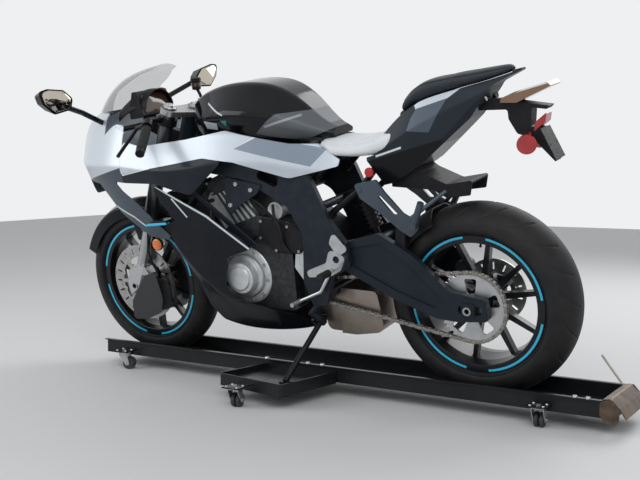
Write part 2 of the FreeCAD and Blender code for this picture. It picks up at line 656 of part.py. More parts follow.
def exhaust():
    """Three header pipes, the collector under the engine, the muffler box and its outlet."""
    headers = []
    for side in (-80, 0, 80):
        headers.append(pipe([(1002, side, 640, 0), (1012, side, 560, 40), (992, side * 0.7, 400, 80),
                             (950, side * 0.3, 236, 60), (840, side * 0.2, 224, 0)], 17))
    collector = rod(Vector(862, 0, 222), Vector(520, 0, 240), 28)
    box = side_plate([(340, 280, 24), (350, 338, 20), (552, 344, 26), (572, 262, 20), (562, 182, 26),
                      (440, 178, 30), (330, 196, 30)], -104, size.chain_y - size.chain_width / 2 - 7)
    stand_room = Part.makeBox(120, 60, 110, Vector(496, 72, 180))
    tube_room = Part.makeCylinder(18, 400, LOW_TUBE - Vector(0, 200, 0), Vector(0, 1, 0))
    box = box.cut([stand_room, tube_room])
    outlet = pipe([(400, -80, 262, 0), (372, -138, 256, 26), (290, -168, 268, 0)], 28)
    bore = pipe([(372, -138, 256, 0), (290, -168, 268, 0)], 24)
    return joined(headers + [collector, box, outlet]).cut([bore, engine_shape])


piece("exhaust", exhaust(), BIKE)


def airbox():
    """The intake housing that fills the frame between the engine and the tank."""
    box = side_plate([(612, 722, 20), (636, 662, 30), (772, 662, 30), (842, 752, 10), (936, 734, 20),
                      (944, 792, 20), (900, 836, 20), (640, 826, 20)], -112, 112)
    return joined([box, rod(Vector(800, -size.spar_in_y, 786), Vector(800, size.spar_in_y, 786), 12)])


piece("airbox", airbox(), BIKE)


# The side stand's pivot: its line is set in the level frame, where the foot meets the tray

def to_level(point):
    """A bike-frame point in the level frame."""
    return LEAN.multVec(point)


def to_bike(point):
    """A level-frame point in the bike's frame."""
    return LEAN.inverted().multVec(point)


stand_pivot = to_level(Vector(size.stand_pivot_x, size.stand_pivot_y, size.stand_pivot_z))
stand_axis = Vector(0.45, 0.6, 0.66).normalize()
foot_drop = stand_pivot.z - size.tray_floor - size.seat_gap
foot_run = Vector(37, 191, -207) * (foot_drop / 207)
stand_foot = stand_pivot + foot_run


def stand_mount():
    """The boss above the stand's hub, the pivot bolt with its head, and the brace to the frame."""
    hub_half = size.stand_hub / 2 + 0.3
    boss = rod(stand_pivot + stand_axis * hub_half, stand_pivot + stand_axis * 52, 16)
    bolt = rod(stand_pivot - stand_axis * (hub_half + 6), stand_pivot + stand_axis * 30, size.stand_bolt_r)
    head = rod(stand_pivot - stand_axis * (hub_half + 6), stand_pivot - stand_axis * hub_half, 11)
    brace = rod(stand_pivot + stand_axis * 44, to_level(LOW_TUBE + Vector(4, 126, -2)), 13)
    mount = joined([boss, bolt, head, brace])
    mount.rotate(Vector(0, 0, 0), Vector(1, 0, 0), size.lean_deg)
    return mount


# Frame

def frame():
    """Twin spars from the steering head to the pivot plates, with cross members."""
    spar = side_plate([(1030, 850, 16), (840, 832, 60), (650, 776, 60), (530, 742, 30), (470, 600, 60),
                       (410, 520, 20), (400, 440, 20), (470, 400, 30), (506, 300, 16), (560, 292, 16),
                       (590, 380, 30), (574, 540, 60), (628, 640, 60), (800, 730, 60), (1030, 766, 16)],
                      size.spar_in_y, size.spar_out_y)
    window = side_plate([(660, 700, 16), (760, 744, 16), (720, 764, 14), (650, 742, 14)],
                        size.spar_in_y, size.spar_out_y)
    left = spar.cut(window)
    box = side_plate([(1030, 800, 8), (1030, 850, 8), (960, 856, 8), (952, 806, 8)],
                     -size.spar_in_y - 1, size.spar_in_y + 1)
    neck = side_plate([(1000, 806, 0), (1140, 792, 0), (1120, 858, 0), (1000, 852, 0)], -30, 30)
    tube_start, tube_end = on_stem(size.lower_yoke_z + 22), on_stem(size.upper_yoke_z - 16)
    head = rod(tube_start, tube_end, size.head_tube_r)
    bore = rod(on_stem(700), on_stem(990), size.head_tube_inner_r)
    bolt = Part.makeCylinder(12, 2 * size.spar_out_y + 12, PIVOT - Vector(0, size.spar_out_y + 6, 0), Vector(0, 1, 0))
    low_tube = Part.makeCylinder(14, 2 * size.spar_in_y + 2, LOW_TUBE - Vector(0, size.spar_in_y + 1, 0),
                                 Vector(0, 1, 0))
    high_tube = Part.makeCylinder(14, 2 * size.spar_in_y + 2, Vector(500, -size.spar_in_y - 1, 640), Vector(0, 1, 0))
    return joined([left, mirrored(left), box, neck, head, bolt, low_tube, high_tube, stand_mount()]).cut(bore)


frame_shape = frame()
piece("frame", frame_shape, BIKE)


def subframe():
    """Rear rails from the spars to the tail, tied by cross tubes."""
    upper = pipe([(548, 112, 716, 0), (470, 96, 788, 60), (240, 86, 850, 90), (-60, 44, 968, 0)], 12)
    lower = pipe([(486, 112, 606, 0), (360, 100, 700, 80), (238, 87, 848, 0)], 11)
    lug_high = Part.makeCylinder(15, size.spar_in_y - 100, Vector(546, 100, 716), Vector(0, 1, 0))
    lug_low = Part.makeCylinder(15, size.spar_in_y - 100, Vector(484, 100, 604), Vector(0, 1, 0))
    side = joined([upper, lower, lug_high, lug_low])
    ties = [Part.makeCylinder(9, 2 * 88, Vector(230, -88, 853), Vector(0, 1, 0)),
            Part.makeCylinder(9, 2 * 96, Vector(440, -96, 797), Vector(0, 1, 0)),
            Part.makeCylinder(9, 2 * 52, Vector(-44, -52, 960), Vector(0, 1, 0))]
    return joined([side, mirrored(side)] + ties)


subframe_shape = subframe()
piece("subframe", subframe_shape, BIKE)


def shock():
    """The rear spring and damper, between the frame and the swingarm's cross box."""
    top, bottom = Vector(430, 0, 660), Vector(380, 0, 515)
    run = (top - bottom).normalize()
    body = rod(bottom, top, 16)
    coil = [rod(bottom + run * (26 + 16 * turn), bottom + run * (34 + 16 * turn), 34) for turn in range(6)]
    sleeve = rod(bottom + run * 24, bottom + run * 116, 26)
    eye = Part.makeCylinder(20, 40, top + Vector(0, -20, 0), Vector(0, 1, 0))
    arm = rod(top, Vector(498, 0, 640), 14)
    tie = Part.makeCylinder(14.3, 100, Vector(500, -50, 640), Vector(0, 1, 0))
    return joined([body, sleeve, eye, arm] + coil).cut([arm_shape, tie])


piece("shock", shock(), BIKE)


def footrests():
    """The rider's left bracket with its peg and control lever."""
    plate = side_plate([(410, 476, 14), (470, 500, 16), (486, 452, 14), (566, 420, 12), (560, 398, 10),
                        (470, 408, 16), (430, 430, 14)], size.spar_out_y + 0.3, size.spar_out_y + 12)
    bolt_room = Part.makeCylinder(12.3, 60, PIVOT + Vector(0, size.spar_out_y - 10, 0), Vector(0, 1, 0))
    heel = side_plate([(400, 500, 10), (452, 560, 12), (470, 520, 12), (440, 474, 10)],
                      size.spar_out_y + 3, size.spar_out_y + 9)
    peg = pipe([(470, size.spar_out_y + 8, 430, 0), (462, 216, 428, 20), (452, 262, 432, 0)], 10)
    lever = pipe([(476, size.spar_out_y + 6, 418, 0), (512, 180, 352, 20), (600, 186, 314, 0)], 6)
    toe = pipe([(596, 180, 316, 0), (604, 226, 312, 0)], 8)
    return joined([plate, heel, peg, lever, toe]).cut(bolt_room)


piece("footrests", both_sides(footrests()), BIKE)


# Tank, seats and tail: lofts through rounded sections at stations along the bike

def body_loft(stations, inset=0.0):
    """A smooth closed form through sections of x, low z, low half, mid z, mid half, top z, top half, corner."""
    wires = []
    for x, low, low_half, mid, mid_half, top, top_half, corner in stations:
        rows = [(-low_half + inset, low + inset, corner * 0.6), (-mid_half + inset, mid, corner),
                (-top_half + inset, top - inset, corner), (top_half - inset, top - inset, corner),
                (mid_half - inset, mid, corner), (low_half - inset, low + inset, corner * 0.6)]
        wires.append(outline(rows, lambda y, z: Vector(x, y, z)))
    return Part.makeLoft(wires, True)


TANK_STATIONS = [
    (1066, 880, 40, 920, 62, 992, 34, 18), (1000, 852, 78, 930, 120, 1022, 60, 26),
    (890, 852, 110, 950, 166, 1050, 84, 34), (760, 852, 122, 950, 180, 1054, 92, 38),
    (640, 856, 112, 930, 158, 1018, 74, 34), (530, 860, 80, 890, 98, 926, 48, 18),
    (474, 862, 60, 874, 66, 890, 34, 6)]
yoke_room = Part.makeBox(60, 200, 166, Vector(1044, -100, 800))
tank_shape = body_loft(TANK_STATIONS).cut([frame_shape, yoke_room])
tank_shape = max(tank_shape.Solids, key=lambda solid: solid.Volume)
piece("tank", tank_shape, BIKE)

SEAT_STATIONS = [
    (528, 800, 84, 836, 104, 858, 60, 12), (440, 796, 112, 826, 134, 852, 84, 14),
    (350, 796, 124, 828, 146, 856, 96, 14), (270, 806, 116, 842, 134, 878, 92, 16),
    (226, 822, 104, 858, 116, 898, 84, 14)]
seat_shape = body_loft(SEAT_STATIONS).cut([tank_shape, subframe_shape])
seat_shape = max(seat_shape.Solids, key=lambda solid: solid.Volume)
piece("rider_seat", seat_shape, BIKE)

PILLION_STATIONS = [
    (212, 926, 84, 946, 96, 966, 66, 8), (150, 962, 88, 990, 102, 1020, 72, 12),
    (60, 990, 82, 1014, 94, 1040, 64, 12), (-40, 1012, 62, 1030, 72, 1050, 46, 9),
    (-140, 1038, 26, 1048, 34, 1062, 18, 4)]
pillion_shape = body_loft(PILLION_STATIONS)
piece("passenger_seat", pillion_shape, BIKE)

TAIL_STATIONS = [
    (330, 692, 84, 784, 124, 802, 112, 6), (212, 722, 80, 858, 122, 925, 96, 12),
    (110, 784, 70, 912, 108, 984, 84, 14), (0, 884, 54, 960, 84, 1010, 62, 14),
    (-126, 990, 26, 1016, 38, 1040, 24, 8), (-168, 1022, 12, 1034, 22, 1048, 14, 4)]
tail_outline = [(334, 806, 4), (322, 784, 10), (283, 690, 14), (151, 770, 60), (-11, 907, 60), (-87, 1006, 40),
                (-170, 1042, 3), (-170, 1070, 0), (0, 1070, 0), (212, 960, 0)]
tail_form = body_loft(TAIL_STATIONS).common(side_plate(tail_outline, -200, 200))
tail_shape = tail_form.cut([seat_shape, pillion_shape, subframe_shape])
tail_shape = max(tail_shape.Solids, key=lambda solid: solid.Volume)
piece("tail_cowl", tail_shape, BIKE)


def tail_fender():
    """The inner fender under the tail: two cheeks and the web that joins their tops."""
    rows = [(262, 764, 4), (197, 764, 6), (160, 738, 10), (76, 702, 20), (-10, 716, 6), (0, 668, 4),
            (80, 658, 20), (127, 684, 20), (272, 693, 4)]
    hollow = side_plate(rows, -62, 62)
    hollow.translate(Vector(0, 0, -5))
    fender = side_plate(rows, -66, 66).cut([hollow, tail_shape, subframe_shape, seat_shape])
    return max(fender.Solids, key=lambda solid: solid.Volume)


fender_shape = tail_fender()
piece("tail_fender", fender_shape, BIKE)


def passenger_rests():
    """A slotted hanger from the tail rails down to the folded passenger peg, with its strut."""
    hanger = side_plate([(352, 668, 8), (372, 714, 10), (290, 730, 10), (262, 690, 12), (200, 622, 14),
                         (150, 596, 8), (152, 570, 10), (178, 545, 10), (214, 566, 12), (289, 627, 40)], 132, 142)
    slot = side_plate([(290, 680, 4), (276, 678, 3), (214, 616, 4), (236, 618, 4)], 132, 142)
    stub = Part.makeCylinder(9, 46, Vector(352, 98, 696), Vector(0, 1, 0))
    peg = rod(Vector(160, 150, 590), Vector(126, 160, 662), 11)
    knuckle = Part.makeCylinder(13, 26, Vector(164, 134, 584), Vector(0, 1, 0))
    strut = rod(Vector(176, 136, 606), Vector(84, 62, 680), 7)
    return joined([hanger.cut(slot), stub, peg, knuckle, strut]).cut([subframe_shape, fender_shape])


piece("passenger_rests", both_sides(passenger_rests()), BIKE)


# Tail end: plate hanger, lamp and reflectors

PLATE_HOLE = Vector(-248, 0, 818)
PLATE_NORMAL = Vector(-91, 0, 43).normalize()
PLATE_HOLE_Y = 28


def plate_hanger():
    """The arm under the tail with the bracket that the number plate is screwed to."""
    arm = side_plate([(24, 926, 6), (24, 958, 6), (-112, 958, 4), (-150, 950, 3), (-250, 934, 1), (-240, 924, 1),
                      (-196, 930, 6), (-190, 872, 8), (-225, 868, 2), (-267, 776, 2), (-262, 766, 2),
                      (-192, 840, 8), (-147, 852, 14), (-121, 897, 14), (-119, 926, 8)], -24, 24)
    plate = side_plate([(-223, 867, 0), (-226.6, 868.7, 0), (-271, 774.7, 0), (-267.4, 773, 0)], -42, 42)
    holes = [Part.makeCylinder(3, 24, PLATE_HOLE - PLATE_NORMAL * 12 + Vector(0, side * PLATE_HOLE_Y, 0),
                               PLATE_NORMAL) for side in (1, -1)]
    return joined([arm, plate]).cut(holes + [subframe_shape])


hanger_shape = plate_hanger()
hanger_tail = hanger_shape.cut(tail_shape)
piece("plate_hanger", max(hanger_tail.Solids, key=lambda solid: solid.Volume), BIKE)


def rear_reflectors():
    """Round reflectors on short stalks each side of the hanger, and the lamp above it."""
    stalk = rod(Vector(-186, 20, 852), Vector(-188, 58, 828), 6)
    face = rod(Vector(-187, 57, 826), Vector(-190, 66, 825), 30)
    side = joined([stalk, face]).cut(hanger_shape)
    lamp = side_plate([(-104, 950, 2), (-111, 964, 4), (-153, 981, 6), (-253, 1006, 3), (-265, 994, 3),
                       (-156, 948, 4)], -46, 46).cut([tail_shape, hanger_shape, pillion_shape])
    lens = max(lamp.Solids, key=lambda solid: solid.Volume)
    return Part.makeCompound([side, mirrored(side), lens])


piece("rear_lamps", rear_reflectors(), BIKE)


def rear_hugger():
    """The guard close over the rear tyre, with its struts down to the swingarm."""
    inner_r, outer_r = size.rear_tyre_r + 12, size.rear_tyre_r + 16
    half = size.rear_tyre_half + 9
    shell = spun([(-half, inner_r - 50, 2), (-half, outer_r - 34, 30), (-half * 0.5, outer_r, 60),
                  (half * 0.5, outer_r, 60), (half, outer_r - 34, 30), (half, inner_r - 50, 2),
                  (half - 4, inner_r - 50, 2), (half - 4, inner_r - 36, 28), (half * 0.48, inner_r, 56),
                  (-half * 0.48, inner_r, 56), (-half + 4, inner_r - 36, 28), (-half + 4, inner_r - 50, 2)],
                 REAR_AXLE)
    sector = side_plate([(0, 315, 0), (340, 470, 0), (340, 600, 0), (170, 680, 0)], -half - 2, half + 2)
    strut = side_plate([(214, 470, 8), (250, 500, 8), (236, 600, 8), (206, 600, 8)], half - 4, size.arm_in_y + 8)
    guard = shell.common(sector)
    ties = joined([guard, strut, mirrored(strut)]).cut(arm_shape)
    return max(ties.Solids, key=lambda solid: solid.Volume)


piece("rear_mudguard", rear_hugger(), BIKE)

piece("rear_caliper", side_plate([(70, 372, 12), (130, 352, 14), (128, 410, 14), (80, 420, 14)],
                                 -size.arm_in_y, -size.rear_disc_y + 22).cut(
    [mirrored(arm_shape), Part.makeCylinder(size.rear_disc_r + 4, size.disc_thick + 6,
                                            REAR_AXLE - Vector(0, size.rear_disc_y + 3, 0), Vector(0, 1, 0))]),
      BIKE)


# Fairing: panels cut from one hollow form by their outlines, as seen from the side

FORM_STATIONS = [
    (1658, 716, 26, 780, 44, 836, 24, 16), (1580, 640, 66, 780, 122, 926, 64, 30),
    (1470, 600, 120, 780, 188, 972, 112, 40), (1330, 530, 156, 780, 224, 946, 164, 44),
    (1160, 490, 166, 770, 240, 890, 189, 40), (960, 540, 196, 780, 240, 906, 185, 40),
    (760, 600, 176, 800, 214, 900, 168, 36), (590, 640, 150, 780, 182, 872, 146, 30),
    (420, 680, 110, 760, 136, 810, 112, 20)]
BELLY_STATIONS = [
    (1180, 470, 196, 620, 232, 760, 236, 30), (1060, 250, 150, 480, 226, 760, 238, 50),
    (900, 176, 120, 330, 216, 740, 228, 60), (740, 172, 110, 300, 206, 700, 210, 60),
    (596, 196, 96, 280, 184, 560, 186, 40)]
upper_skin = body_loft(FORM_STATIONS).cut(body_loft(FORM_STATIONS, size.panel_thick))
belly_skin = body_loft(BELLY_STATIONS).cut(body_loft(BELLY_STATIONS, size.panel_thick))


def panel(skin, rows, y_from, y_to):
    """The part of a hollow form inside an outline drawn from the side."""
    found = skin.common(side_plate(rows, y_from, y_to))
    return max(found.Solids, key=lambda solid: solid.Volume)


side_rows = [(1300, 876, 20), (1210, 856, 60), (1003, 877, 60), (846, 902, 60), (740, 880, 60),
             (600, 852, 60), (504, 846, 20), (426, 792, 8), (430, 772, 8), (600, 738, 60), (790, 800, 60),
             (917, 816, 60), (1158, 780, 60), (1300, 752, 10)]
side_panel = panel(upper_skin, side_rows, 90, 260)
piece("side_fairings", both_sides(side_panel), BIKE)

duct_rows = [(1300, 751, 4), (1158, 779, 60), (917, 815, 60), (832, 804, 8), (986, 683, 30),
             (1140, 725, 60), (1300, 724, 4)]
duct_panel = panel(upper_skin, duct_rows, 120, 260)
piece("side_ducts", both_sides(duct_panel), BIKE)

nose_rows = [(1680, 860, 8), (1600, 960, 40), (1470, 1000, 30), (1340, 1000, 30), (1301, 900, 10),
             (1301, 876, 0), (1301, 724, 4), (1356, 728, 6), (1326, 689, 20), (1252, 634, 40),
             (1213, 582, 20), (1142, 522, 4), (1160, 504, 4), (1249, 514, 30), (1293, 543, 30),
             (1418, 622, 60), (1590, 622, 30), (1680, 700, 20)]
nose_shell = upper_skin.common(side_plate(nose_rows, -260, 260))
wheel_arch = Part.makeBox(500, 320, 230, Vector(1100, -160, 480))
cockpit = Part.makeBox(130, 330, 300, Vector(1280, -165, 850))
dash_room = Part.makeBox(90, 190, 300, Vector(1400, -95, 900))
nose_shape = nose_shell.cut([wheel_arch, cockpit, dash_room])
piece("nose_fairing", max(nose_shape.Solids, key=lambda solid: solid.Volume), BIKE)

belly_rows = [(1150, 724, 8), (1055, 679, 60), (930, 617, 60), (791, 533, 30), (757, 498, 10), (862, 465, 20),
              (882, 350, 20), (842, 314, 20), (620, 250, 20), (598, 236, 8), (598, 180, 20), (900, 160, 60),
              (963, 191, 20), (1007, 263, 30), (1013, 376, 30), (1067, 466, 30), (1093, 535, 20),
              (1080, 613, 20), (1119, 656, 20)]
wheel_room = Part.makeCylinder(352, 400, FRONT_AXLE - Vector(0, 200, 0), Vector(0, 1, 0))
belly_left = panel(belly_skin.cut(wheel_room), belly_rows, 8, 260)
winglet = side_plate([(1211, 569, 4), (1159, 591, 8), (995, 605, 6), (1085, 586, 30)], 210, 252)
belly_left = joined([belly_left, winglet.cut([nose_shape, belly_left])])
piece("belly_pan", both_sides(belly_left), BIKE)


# Arches of the screen: x and z of the middle, half width, how far the ends sweep back and fall
SCREEN_ARCHES = [(1560, 926, 100, 120, 4), (1548, 944, 104, 130, 8), (1476, 1030, 128, 150, 22),
                 (1380, 1096, 134, 140, 44), (1262, 1128, 104, 84, 34), (1220, 1134, 92, 60, 28), (1180, 1138, 84, 40, 24)]


def screen_form(inset):
    """The solid under the screen's arches, drawn in by an inset."""
    wires = []
    for x, z, half, sweep, fall in SCREEN_ARCHES:
        middle = Vector(x - inset, 0, z - inset * 0.7)
        ends = [Vector(x - sweep - inset * 2, side * (half - inset), z - fall - inset * 0.7)
                for side in (1, -1)]
        wires.append(Part.Wire([Part.Arc(ends[0], middle, ends[1]).toShape(),
                                Part.LineSegment(ends[1], ends[0]).toShape()]))
    return Part.makeLoft(wires, True)


trim_rows = [(1600, 936, 0), (1600, 1200, 0), (1222, 1200, 0), (1222, 1118, 0), (1262, 1104, 8), (1357, 1046, 20),
             (1400, 972, 8), (1425, 936, 0)]
screen_shape = screen_form(0).cut([screen_form(size.screen_thick), nose_shell])
screen_shape = screen_shape.common(side_plate(trim_rows, -200, 200))
screen_shape = max(screen_shape.Solids, key=lambda solid: solid.Volume)
piece("windscreen", screen_shape, BIKE)


def front_stay():
    """The cast arm from the steering head that carries the dash, nose, screen and mirrors."""
    arm = side_plate([(1150, 820, 10), (1200, 830, 20), (1336, 896, 12), (1344, 940, 6), (1304, 944, 6),
                      (1300, 922, 12), (1150, 876, 10)], -16, 16)
    bar = rod(Vector(1326, -210, 914), Vector(1326, 210, 914), 10)
    tube = rod(on_stem(700), on_stem(990), size.head_tube_r)
    outside = body_loft(FORM_STATIONS, size.panel_thick)
    return joined([arm, bar.common(outside)]).cut(tube)


stay_shape = front_stay()
dash = side_plate([(1276, 950, 6), (1298, 1036, 6), (1322, 1042, 6), (1346, 964, 8), (1344, 940, 4),
                   (1302, 944, 6)], -84, 84)
piece("instrument_panel", dash.cut([screen_shape, stay_shape, nose_shape]), BIKE)


def headlights():
    """Two slim lamps set behind the nose panel."""
    lamp = side_plate([(1520, 760, 8), (1610, 770, 8), (1600, 800, 8), (1516, 812, 8)], 50, 116)
    return lamp.common(body_loft(FORM_STATIONS, size.panel_thick + 0.3))


piece("headlights", both_sides(headlights()), BIKE)


MIRROR_CENTRE = Vector(1376, 425, 1052)


def mirror():
    """The left mirror: a tapered head on a flat stalk from the nose's shoulder."""
    face = [(360, 1014, 14), (344, 1052, 16), (384, 1086, 16), (458, 1098, 14), (500, 1092, 12), (486, 1046, 18),
            (440, 1007, 20)]
    back = [(MIRROR_CENTRE.y + (y - MIRROR_CENTRE.y) * 0.7, MIRROR_CENTRE.z + (z - MIRROR_CENTRE.z) * 0.7, corner * 0.7)
            for y, z, corner in face]
    head = Part.makeLoft([outline(face, lambda y, z: Vector(MIRROR_CENTRE.x - 16, y, z)),
                          outline(back, lambda y, z: Vector(MIRROR_CENTRE.x + 30, y, z))], True)
    stalk = pipe([(1440, 120, 930, 0), (1432, 240, 990, 60), (1392, 392, 1040, 0)], 10)
    return joined([head, stalk]).cut([nose_shape, screen_shape, body_loft(FORM_STATIONS, size.panel_thick)])


mirror_shape = mirror()
mirror_shape = max(mirror_shape.Solids, key=lambda solid: solid.Volume)
piece("mirrors", both_sides(mirror_shape), BIKE)


def fairing_stays():
    """Short bosses from the frame, the engine and the radiator out to the inside of each panel."""
    inside = [body_loft(FORM_STATIONS, size.panel_thick), body_loft(BELLY_STATIONS, size.panel_thick)]
    seats = [(870, size.spar_out_y, 830, 0), (965, 126, 724, 0), (935, 136, 480, 1), (935, 136, 344, 1)]
    shapes = []
    for x, y, z, form in seats:
        boss = rod(Vector(x, y, z), Vector(x, 260, z), 8).common(inside[form])
        shapes.append(boss.cut([engine_shape, frame_shape]))
    rail = rod(Vector(990, 124, 668), Vector(1120, 124, 640), 8).cut([engine_shape, radiator_shape])
    nearest = min(rail.Solids, key=lambda solid: solid.CenterOfMass.x) if len(rail.Solids) > 1 else rail
    return shapes + [nearest]


bosses = fairing_stays()
piece("fairing_stays", Part.makeCompound([stay_shape] + bosses + [mirrored(boss) for boss in bosses]), BIKE)


# Side stand, in the dolly's level frame

def side_stand():
    """A hub round the pivot bolt, the round leg and a foot plate that lies flat in the tray."""
    hub = rod(stand_pivot - stand_axis * size.stand_hub / 2, stand_pivot + stand_axis * size.stand_hub / 2, 16)
    leg = rod(stand_pivot, stand_foot + Vector(0, 0, 6), size.stand_leg_r)
    foot = Part.makeCylinder(22, 7, stand_foot, Vector(0, 0, 1))
    bore = Part.makeCylinder(size.stand_bolt_r + size.running_gap, 60, stand_pivot - stand_axis * 30, stand_axis)
    above = Part.makeBox(400, 400, 400, stand_foot + Vector(-200, -200, 0))
    return joined([hub, leg, foot]).cut(bore).common(above)


piece("side_stand", side_stand(), DOLLY)


# Dolly

INNER = size.channel_half
OUTER = size.channel_half + size.channel_sheet


def lowest(corners, axle_z):
    """The lowest height of a leaning tyre in the level frame, from its section's corners."""
    lean = math.radians(size.lean_deg)
    reach = max(radius * math.cos(lean) + across * math.sin(lean) for across, radius in corners)
    return axle_z * math.cos(lean) - reach


rear_tyre_low = lowest(rear_corners, size.rear_axle_z)
front_tyre_low = lowest(front_corners, size.front_axle_z)
print("lowest of the rear and front tyre: %.4f %.4f" % (rear_tyre_low, front_tyre_low))


def channel_half(x_from, x_to, floor_top):
    """One half of the wheel channel: a folded sheet with outward lips on both rails."""
    low, sheet, top, lip = floor_top - size.channel_sheet, size.channel_sheet, size.rail_top, size.rail_lip
    mid = size.channel_shift
    rows = [(mid - OUTER, low, 3), (mid - OUTER, top - sheet, 1), (mid - OUTER - lip, top - sheet, 1),
            (mid - OUTER - lip, top, 1), (mid - INNER, top, 3), (mid - INNER, floor_top, 2),
            (mid + INNER, floor_top, 2), (mid + INNER, top, 3), (mid + OUTER + lip, top, 1),
            (mid + OUTER + lip, top - sheet, 1), (mid + OUTER, top - sheet, 1), (mid + OUTER, low, 3)]
    return end_plate(rows, x_from, x_to)


rear_channel = channel_half(size.channel_rear_x, size.channel_join_x, rear_tyre_low - size.tyre_gap)
# The leaning front wheel sinks 2.5 mm when it is steered to the right, so its floor lies lower
front_floor = front_tyre_low - size.tyre_gap - size.steer_drop
front_channel = channel_half(size.channel_join_x, size.channel_front_x, front_floor)
mid_y = size.channel_shift
tray_rows = [(508, mid_y + OUTER + 0.3, 4), (556, 414, 14), (848, 368, 14), (800, mid_y + OUTER + 0.3, 4)]


def tray():
    """The side tray that the stand's foot stands in: a skirt with a floor part-way up."""
    centre = Vector(678, 280, 0)
    outer = top_plate(tray_rows, size.tray_skirt, size.tray_rim_top)
    inner_rows = []
    for x, y, corner in tray_rows:
        away = (Vector(x, y, 0) - centre).normalize() * size.tray_sheet * 1.4
        inner_rows.append((x - away.x, y - away.y, max(corner - size.tray_sheet, 1)))
    above = top_plate(inner_rows, size.tray_floor, size.tray_rim_top)
    below = top_plate(inner_rows, size.tray_skirt, size.tray_floor - size.tray_sheet)
    lip_room = Part.makeBox(500, size.rail_lip + 1, 30,
                            Vector(450, mid_y + OUTER - 1, size.rail_top - size.channel_sheet - 0.3))
    return outer.cut([above, below, lip_room])


CASTERS = [
    # label, x, y, inner edge of its plate, direction the wheels trail in degrees
    ("front_left", 1466, 1, 20), ("front_right", 1466, -1, 150), ("rear_left", -226, 1, 95),
    ("rear_right", -226, -1, 40), ("tray", 716, 0, 100)]

tray_shape = tray()
tray_caster_y = 452
caster_offset = OUTER + 32
stem_r = 6


def caster_centre(side):
    """The swivel axis of a caster: beside a rail, or out past the tray."""
    return tray_caster_y if side == 0 else mid_y + side * caster_offset


def outrigger(x, side):
    """The flat plate from a rail (or the tray) out over a caster, with the stem's hole."""
    y = caster_centre(side)
    if side == 0:
        edge = 384
        box = Part.makeBox(64, y + 30 - edge, 4, Vector(x - 32, edge, size.caster_plate_z))
    elif side > 0:
        edge = mid_y + OUTER
        box = Part.makeBox(64, y + 30 - edge, 4, Vector(x - 32, edge, size.caster_plate_z))
    else:
        edge = mid_y - OUTER
        box = Part.makeBox(64, edge - y + 30, 4, Vector(x - 32, y - 30, size.caster_plate_z))
    hole = Part.makeCylinder(stem_r + size.running_gap, 20, Vector(x, y, size.caster_plate_z - 8))
    return box.cut(hole)


plates = [outrigger(x, side) for label, x, side, heading in CASTERS]
piece("dolly_front_channel", joined([front_channel, plates[0], plates[1]]), DOLLY)
piece("dolly_rear_channel", joined([rear_channel, plates[2], plates[3]]), DOLLY)
piece("dolly_tray", joined([tray_shape, plates[4]]), DOLLY)


def ramp():
    """The short curved ramp pinned between the side flanges at the rear end."""
    flange = side_plate([(-404, 40, 6), (-414, 40, 2), (-440, 50, 8), (-462, 26, 10), (-462, -24, 12), (-424, -24, 10),
                         (-404, -4, 4)], mid_y + OUTER, mid_y + OUTER + 4)
    other = flange.copy()
    other.translate(Vector(0, -2 * OUTER - 4, 0))
    sheet = side_plate([(-413, 47, 0), (-436, 50, 8), (-466, 22, 24), (-484, -6, 2), (-481, -9, 2),
                        (-462, 20, 20), (-435, 45, 6), (-413, 43, 0)], mid_y - OUTER, mid_y + OUTER)
    pin = Part.makeCylinder(6, 2 * OUTER + 14, Vector(-440, mid_y - OUTER - 7, -10), Vector(0, 1, 0))
    return joined([flange, other, sheet, pin])


piece("dolly_ramp", ramp(), DOLLY)


def caster_fork(x, side, heading):
    """An inverted U of folded sheet on a stem, with the axle across it."""
    y = caster_centre(side)
    half = size.caster_tread + size.caster_pair_gap / 2 + 2
    sheet = size.caster_fork_sheet
    axle = Vector(-size.caster_trail, 0, size.caster_r - size.ride_height)
    top = size.caster_plate_z - 3
    leg_rows = [(axle.x - 9, axle.z - 8, 7), (axle.x + 9, axle.z - 8, 7), (15, top - sheet - 6, 6), (15, top, 0),
                (-15, top, 0)]
    legs = [side_plate(leg_rows, offset, offset + sheet) for offset in (half, -half - sheet)]
    crown = Part.makeBox(30, 2 * half + 2 * sheet, sheet, Vector(-15, -half - sheet, top - sheet))
    stem = Part.makeCylinder(stem_r, 14, Vector(0, 0, top - sheet))
    collar = Part.makeCylinder(13, 2.7, Vector(0, 0, top))
    nut = Part.makeCylinder(9, 4, Vector(0, 0, size.caster_plate_z + 4.3))
    pin = Part.makeCylinder(size.caster_axle_r, 2 * half + 2 * sheet + 6,
                            Vector(axle.x, -half - sheet - 3, axle.z), Vector(0, 1, 0))
    shape = joined(legs + [crown, stem, collar, nut, pin])
    shape.rotate(Vector(0, 0, 0), Vector(0, 0, 1), heading)
    shape.translate(Vector(x, y, 0))
    return shape


def caster_wheels(x, side, heading):
    """Twin treads on one hub, with a bore for the axle."""
    y = caster_centre(side)
    gap, tread = size.caster_pair_gap / 2, size.caster_tread
    bore = size.caster_axle_r + size.running_gap
    far, rim_r, bevel = gap + tread, size.caster_r, 2.5
    rows = [(-far, bore, 0), (-far, rim_r - bevel, 0), (-far + bevel, rim_r, 0), (-gap - bevel, rim_r, 0),
            (-gap, rim_r - bevel, 0), (-gap, 10, 0), (gap, 10, 0), (gap, rim_r - bevel, 0),
            (gap + bevel, rim_r, 0), (far - bevel, rim_r, 0), (far, rim_r - bevel, 0), (far, bore, 0)]
    shape = spun(rows, Vector(-size.caster_trail, 0, size.caster_r - size.ride_height))
    shape.rotate(Vector(0, 0, 0), Vector(0, 0, 1), heading)
    shape.translate(Vector(x, y, 0))
    return shape


